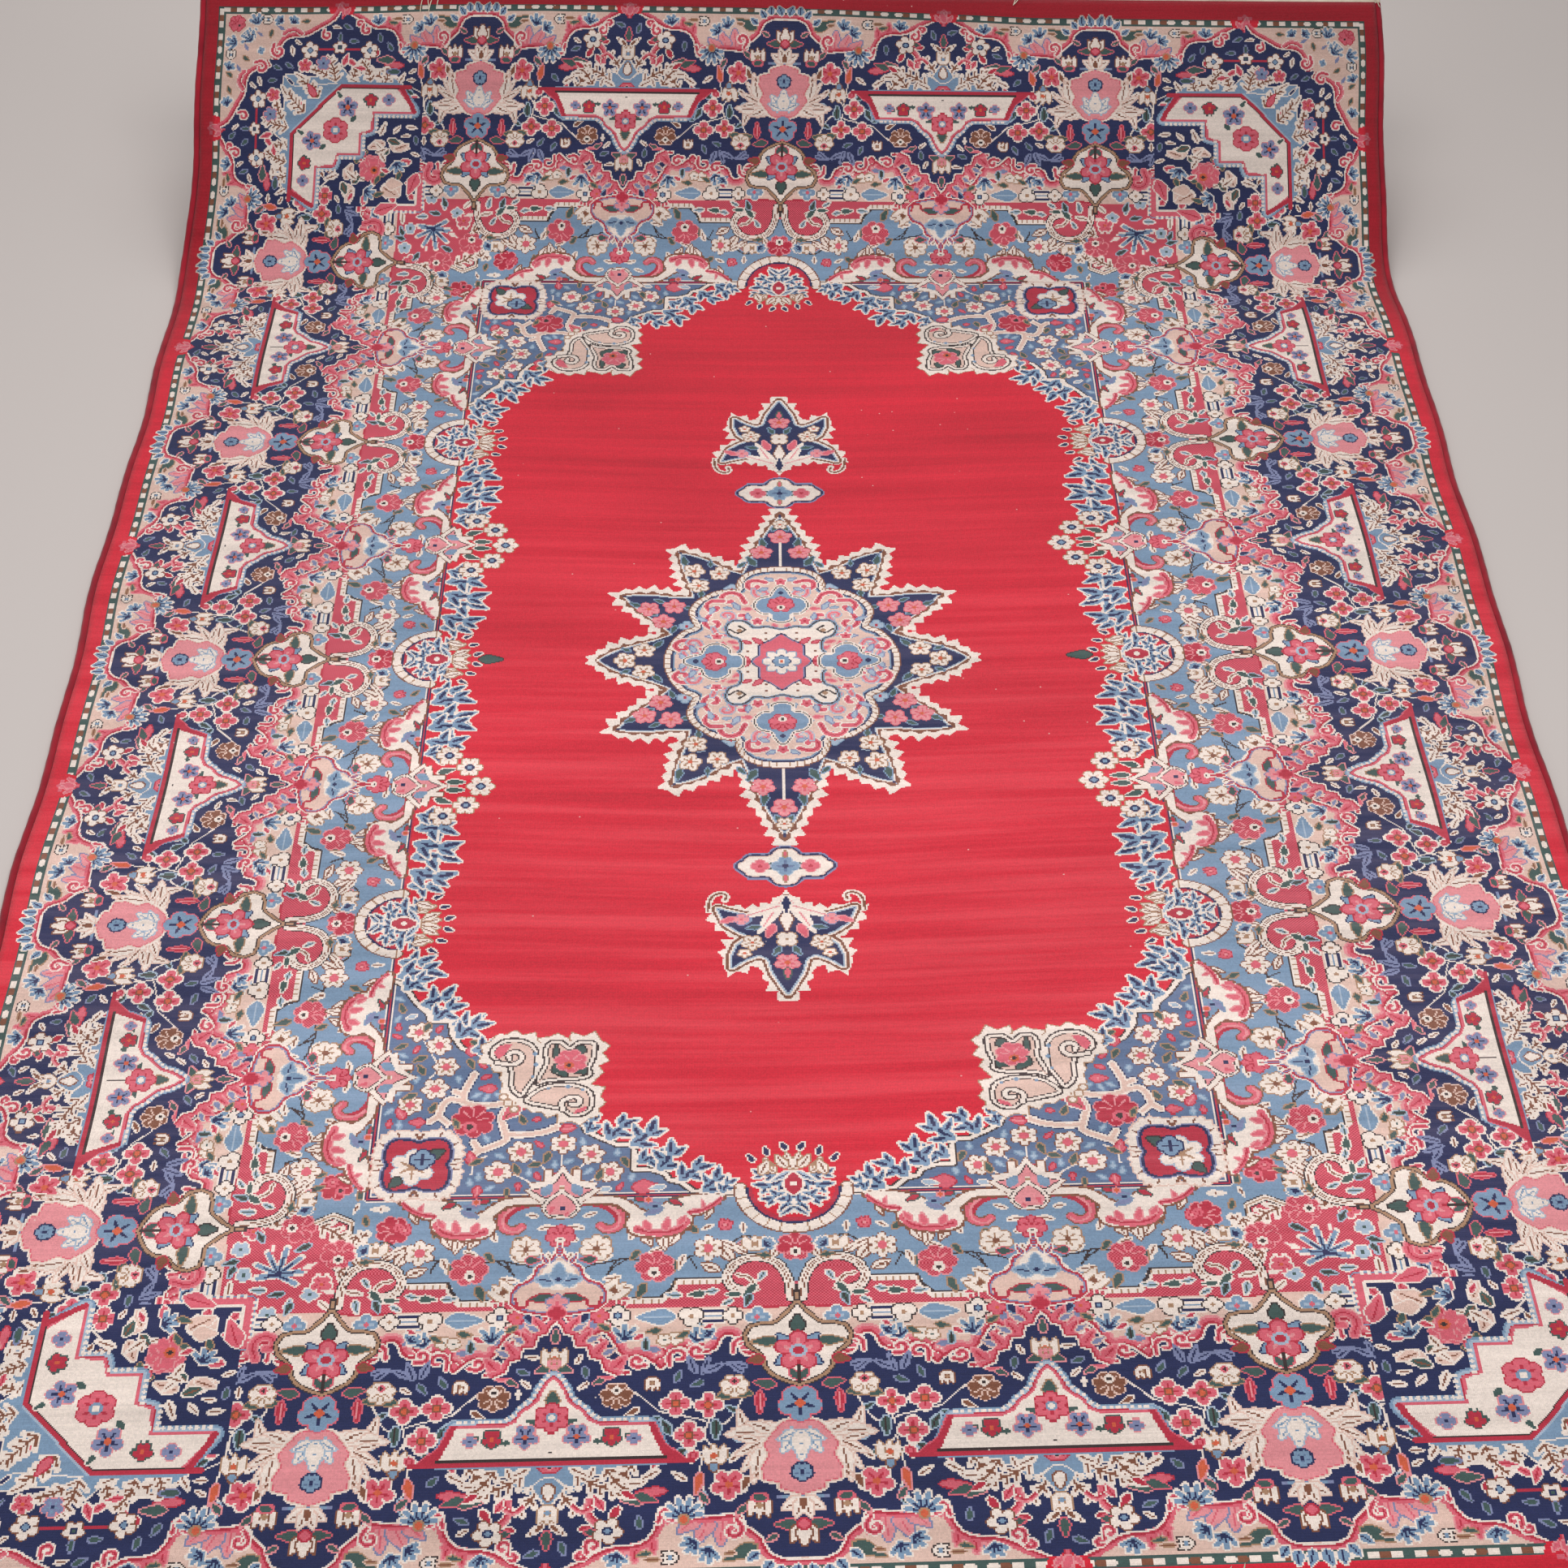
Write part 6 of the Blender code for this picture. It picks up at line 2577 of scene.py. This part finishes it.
@dataclass(frozen=True)
class Camera:
    """The camera, placed by where it stands over the flat rug and how it looks."""

    place: Tuple[float, float, float] = (-0.240, -3.119, 2.573)
    focal_pixels: float = 3480.0
    image_pixels: float = 1932.0
    sensor: float = 36.0
    tilt: float = math.radians(42.0)
    yaw: float = math.radians(3.74)
    roll: float = math.radians(2.47)

    @staticmethod
    def turn(angle: float) -> Matrix:
        """Return a turn about the third axis."""
        cosine, sine = math.cos(angle), math.sin(angle)
        return Matrix(((cosine, -sine, 0), (sine, cosine, 0), (0, 0, 1)))

    def build(self, lie: Lie) -> None:
        """Make the camera.

        Args:
            lie: how the cloth lies, whose shift the camera follows.
        """
        data = bpy.data.cameras.new("camera")
        data.sensor_width = self.sensor
        data.lens = self.focal_pixels / self.image_pixels * self.sensor
        camera = bpy.data.objects.new("camera", data)
        level = Matrix(((1, 0, 0), (0, -math.sin(self.tilt), -math.cos(self.tilt)),
                        (0, math.cos(self.tilt), -math.sin(self.tilt))))
        right, down, ahead = self.turn(self.roll) @ level @ self.turn(self.yaw)
        axes = Matrix((right, -down, -ahead)).transposed().to_4x4()
        camera.matrix_world = Matrix.Translation(Vector(self.place) + Vector(lie.shift)) @ axes
        bpy.context.scene.collection.objects.link(camera)
        bpy.context.scene.camera = camera


@dataclass(frozen=True)
class Lamp:
    """A soft square light: where it hangs, the point it faces, its side, and its power in watts."""

    name: str
    place: Tuple[float, float, float]
    aim: Tuple[float, float, float]
    size: float
    power: float

    def build(self, strength: float) -> None:
        """Make the light.

        Args:
            strength: how much of its power is used.
        """
        data = bpy.data.lights.new(self.name, "AREA")
        data.size, data.energy = self.size, self.power * strength
        lamp = bpy.data.objects.new(self.name, data)
        lamp.location = self.place
        lamp.rotation_mode = "QUATERNION"
        lamp.rotation_quaternion = (Vector(self.aim) - Vector(self.place)).to_track_quat("-Z", "Y")
        bpy.context.scene.collection.objects.link(lamp)


@dataclass(frozen=True)
class Studio:
    """A plain pale floor, and soft light from above."""

    reach: float = 14.0
    drop: float = 0.0005
    floor_tint: Tuple[int, int, int] = (202, 193, 189)
    strength: float = 0.97
    sky: float = 0.37
    lamps: Tuple[Lamp, ...] = (
        Lamp("ceiling_light", (0.0, -0.7, 3.1), (0.0, -0.5, 0.0), 3.0, 78.0),
        Lamp("back_light", (-0.2, 3.3, 2.6), (-0.2, 2.9, 0.0), 2.4, 36.0),
        Lamp("side_light", (-3.6, -2.4, 2.6), (0.0, 0.0, 0.0), 2.5, 20.0),
    )

    def build(self) -> None:
        """Make the floor, the lights and the world."""
        half = self.reach / 2.0
        corners = [(-half, -half), (half, -half), (half, half), (-half, half)]
        floor = make_mesh("floor", [(x, y, -self.drop) for x, y in corners], [(0, 1, 2, 3)], False)
        maker = Maker("pale_floor", 0.75, 0.0)
        where = maker.node("ShaderNodeTexCoord", {}, {}, output="Object")
        shade = 0.97 + maker.noise(where, 0.8, 2.0) * 0.06
        tint = maker.colours(shade, [(0.0, (0, 0, 0, 1)), (1.0, linear(self.floor_tint))])
        floor.data.materials.append(maker.finish(Base_Color=tint))
        for lamp in self.lamps:
            lamp.build(self.strength)
        world = bpy.data.worlds.new("soft_room")
        world.use_nodes = True
        background = world.node_tree.nodes["Background"]
        background.inputs["Color"].default_value = (1.0, 1.0, 1.0, 1.0)
        background.inputs["Strength"].default_value = self.sky * self.strength
        bpy.context.scene.world = world
        bpy.context.scene.view_settings.view_transform = "Standard"


def loft(rings: np.ndarray) -> Tuple[np.ndarray, np.ndarray, List[List[int]]]:
    """Join equal rings of points into closed tubes.

    Args:
        rings: an array of (tubes, rings, points round, 3).

    Returns:
        The points, the side quads and the end caps.
    """
    tubes, steps, round_ = rings.shape[:3]
    number = np.arange(tubes * steps * round_).reshape(tubes, steps, round_)
    following = np.roll(number, -1, 2)
    quads = np.stack([number[:, :-1], following[:, :-1], following[:, 1:], number[:, 1:]], -1)
    caps = [list(ring[::-1]) for ring in number[:, 0]] + [list(ring) for ring in number[:, -1]]
    return rings.reshape(-1, 3), quads.reshape(-1, 4), caps


@dataclass
class OvercastCord:
    """The side cord of the rug: yarn wound round and round the outermost warps."""

    lie: Lie
    side: float
    width: float = 0.011
    height: float = 0.0085
    gap: float = 0.0003
    wrap: float = 0.0026
    sides: int = 8
    groove: float = 0.10
    slant: float = 0.0011
    fullness: float = 1.04
    uneven: float = 0.03
    paces: Tuple[float, float] = (173.0, 71.0)
    colour: Tuple[int, int, int] = (172, 28, 46)
    dark: Tuple[int, int, int] = (120, 14, 32)

    def build(self) -> bpy.types.Object:
        """Build the cord, with a ridge for each wrap.

        Returns:
            The piece.
        """
        label = "left" if self.side < 0 else "right"
        rings = 2 * int(2.0 * self.lie.half_length / self.wrap)
        along = np.linspace(-self.lie.half_length, self.lie.half_length, rings)[:, None]
        angle = (np.arange(self.sides)[None, :] + 0.5) * 2.0 * math.pi / self.sides
        fast, slow = self.paces
        uneven = self.uneven * np.sin(along * fast) + self.uneven * np.sin(along * slow + self.side)
        swell = 1.0 + uneven - self.groove * (np.arange(rings)[:, None] % 2)
        middle = self.lie.edge(along, self.side) + self.side * (self.gap + self.width / 2.0)
        across = middle + 0.5 * self.width * swell * np.cos(angle) * self.fullness
        height = np.maximum(0.5 * self.height * (1.0 + swell * np.sin(angle) * self.fullness), 0.0)
        shifted = np.clip(along + self.slant * np.cos(angle), -self.lie.half_length, self.lie.half_length)
        points, quads, caps = loft(self.lie.laid(across, shifted, height)[None])
        cord = make_mesh(f"{label}_overcast", points, [*quads, *caps])
        cord.data.materials.append(PlainWool(f"{label}_overcast_wool", self.colour, self.dark).dress())
        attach(cord, "root")
        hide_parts(f"cord_{label}")
        return cord


class End(Enum):
    """The two ends of the rug: which way each faces along it."""

    NEAR = -1.0
    FAR = 1.0


# Loose warp ends that lie back over the red edge: place across, reach over the edge and drift aside.
LOOSE_WARPS: Dict[End, Tuple[Tuple[float, float, float], ...]] = {
    End.FAR: ((-1.028, 0.026, -0.012), (-1.02, 0.020, 0.016), (-0.913, 0.016, 0.004), (-0.83, 0.014, 0.014),
              (-0.662, 0.050, -0.006), (-0.654, 0.044, 0.002), (-0.648, 0.050, -0.010),
              (-0.640, 0.036, 0.004), (0.364, 0.016, -0.008), (0.376, 0.018, -0.014),
              (0.998, 0.012, 0.010)),
    End.NEAR: ((0.386, 0.030, 0.018), (0.396, 0.022, -0.012), (0.414, 0.034, 0.006)),
}


@dataclass
class Fringe:
    """The flat-woven web at one end of the rug and the warps that stand out of it."""

    lie: Lie
    end: End
    web_width: float = 0.010
    web_thickness: float = 0.0034
    gap: float = 0.0003
    cord: float = 0.0113
    locks: int = 120
    lock_share: float = 0.48
    strands_a_lock: int = 3
    length: float = 0.066
    spread: float = 0.007
    radius: float = 0.0008
    twist: float = 0.0058
    turn_radius: float = 0.0128
    turn: float = math.radians(120.0)
    rings: int = 26
    sides: int = 8
    ribs: int = 900
    rib_depth: float = 0.10
    profile: Tuple[Tuple[float, ...], Tuple[float, ...]] = (
        (0.0, 0.0, 0.06, 0.35, 0.65, 0.94, 1.0, 1.0), (0.0, 0.75, 0.95, 1.0, 0.94, 1.0, 0.7, 0.0),
    )
    swing: float = 0.0035
    scatter: float = 0.0016
    splay: float = 0.002
    wave_sizes: Tuple[float, float] = (0.0004, 0.0018)
    wave_paces: Tuple[float, float] = (90.0, 170.0)
    root_height: float = 0.0017
    colour: Tuple[int, int, int] = (236, 226, 208)
    dark: Tuple[int, int, int] = (178, 164, 142)
    over_edge: float = 0.0092

    @property
    def label(self) -> str:
        """The end's name."""
        return self.end.name.lower()

    def span(self) -> Tuple[float, float]:
        """Return how far the web reaches to the left and to the right."""
        last = np.array(self.end.value * self.lie.half_length)
        return float(self.lie.edge(last, -1.0)) - self.cord, float(self.lie.edge(last, 1.0)) + self.cord

    def web(self) -> bpy.types.Object:
        """Build the web, with a rib for each pair of warps.

        Returns:
            The piece.
        """
        low, high = self.span()
        across = np.linspace(low, high, self.ribs)[:, None]
        inner, outer = self.lie.half_length + self.gap, self.lie.half_length + self.web_width
        share, tall = np.array(self.profile)
        raised = tall * (1.0 - self.rib_depth + self.rib_depth * (np.arange(self.ribs)[:, None] % 2))
        along = self.end.value * (inner + (outer - inner) * share)
        rings = self.lie.laid(across, along, raised * self.web_thickness)
        if self.end is End.NEAR:
            rings = rings[:, ::-1]
        points, quads, caps = loft(rings[None])
        return make_mesh(f"{self.label}_web", points, [*quads, *caps])

    def strand_paths(self) -> np.ndarray:
        """Return the centre line of every strand.

        Returns:
            An array of (strands, rings, 3).
        """
        low, high = self.span()
        chance = np.random.default_rng(7 if self.end is End.NEAR else 11)
        pitch = (high - low) / self.locks
        lock = np.repeat(np.arange(self.locks), self.strands_a_lock)
        spot = np.tile(np.arange(self.strands_a_lock), self.locks) / (self.strands_a_lock - 1.0) - 0.5
        count = len(lock)
        root = low + (lock + 0.5) * pitch + spot * pitch * (self.lock_share - 0.12)
        length = self.length + self.spread * chance.uniform(-1.0, 0.6, count)
        share = np.linspace(0.0, 1.0, self.rings)[None, :]
        out = length[:, None] * share
        sway = self.swing * np.sin(0.37 * lock) + chance.normal(0.0, self.scatter, count)
        size = chance.uniform(*self.wave_sizes, count)[:, None]
        pace = chance.uniform(*self.wave_paces, count)[:, None]
        wave = size * np.sin(out * pace + chance.uniform(0.0, 6.3, count)[:, None])
        if self.end is End.FAR:
            sway, wave = 0.5 * sway, 0.5 * wave
        across = root[:, None] + (sway[:, None] + spot[:, None] * self.splay) * share**2 + wave * share
        if self.end is End.NEAR:
            reach = out
            lift = self.radius * (1.5 + 0.4 * np.abs(np.sin(out * 60.0 + 1.3 * lock[:, None])))
        else:
            bent = np.minimum(out / self.turn_radius, self.turn)
            drop = np.maximum(out - self.turn_radius * self.turn, 0.0)
            reach = self.turn_radius * np.sin(bent) + drop * math.cos(self.turn)
            lift = self.root_height + self.turn_radius * (np.cos(bent) - 1.0) - drop * math.sin(self.turn)
        run = share[0]
        climb = np.clip(run / 0.2, 0.0, 1.0)
        for place, over, drift in LOOSE_WARPS[self.end]:
            own = int(np.argmin(np.abs(root - place)))
            back = (over + self.web_width) * np.maximum(run - 0.12, 0.0)
            reach[own] = 0.003 * np.sin(math.pi * climb) - back
            lift[own] = self.root_height + self.over_edge * climb * climb * (3.0 - 2.0 * climb)
            across[own] = root[own] + drift * run**1.5 + 2.0 * wave[own]
        along = self.end.value * (self.lie.half_length + self.web_width - 0.002 + reach)
        return self.lie.laid(across, along, lift)

    def strands(self) -> bpy.types.Object:
        """Build the strands, each twisted from two yarns.

        Returns:
            The piece.
        """
        paths = self.strand_paths()
        ahead = np.gradient(paths, axis=1)
        ahead /= np.linalg.norm(ahead, axis=-1, keepdims=True)
        side = np.array([1.0, 0.0, 0.0]) - ahead * ahead[..., :1]
        side /= np.linalg.norm(side, axis=-1, keepdims=True)
        up = np.cross(side, ahead)
        angle = np.arange(self.sides) * 2.0 * math.pi / self.sides
        run = np.linspace(0.0, 1.0, self.rings)[None, :, None]
        wound = run * self.length / self.twist * math.pi + np.arange(len(paths))[:, None, None]
        taper = np.clip((1.02 - run) * 9.0, 0.25, 1.0)
        radius = self.radius * taper * (0.72 + 0.42 * np.abs(np.cos(angle - wound)))
        ring = side[:, :, None] * np.cos(angle)[:, None] + up[:, :, None] * np.sin(angle)[:, None]
        points, quads, caps = loft(paths[:, :, None] + ring * radius[..., None])
        points[:, 2] = np.maximum(points[:, 2], 0.0)
        return make_mesh(f"{self.label}_strands", points, [*quads, *caps])

    def build(self) -> List[bpy.types.Object]:
        """Build and dress the web and the strands.

        Returns:
            The two pieces.
        """
        pieces = [self.web(), self.strands()]
        finish = PlainWool(f"{self.label}_warp_cotton", self.colour, self.dark, 0.1, 1800.0).dress()
        for piece in pieces:
            piece.data.materials.append(finish)
            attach(piece, "root")
            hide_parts(f"fringe_{self.label}")
        return pieces


def main() -> None:
    """Draw the design, build the rug around its solids and set the stage."""
    logging.basicConfig(level=logging.INFO, format="%(message)s")
    lie = Lie().seated(*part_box("rug_cloth"))
    art = Drawing(MILLIMETRES * lie.drawn, MILLIMETRES * lie.half_length, KNOT)
    draw_all(art)
    layers = Rug(lie, art).build()
    cords = [OvercastCord(lie, side).build() for side in BOTH]
    fringes = [piece for end in End for piece in Fringe(lie, end).build()]
    for piece in (*layers, *cords, *fringes):
        LOG.info("%s: %d faces", piece.name, len(piece.data.polygons))
    Camera().build(lie)
    Studio().build()


if __name__ == "__main__":
    main()
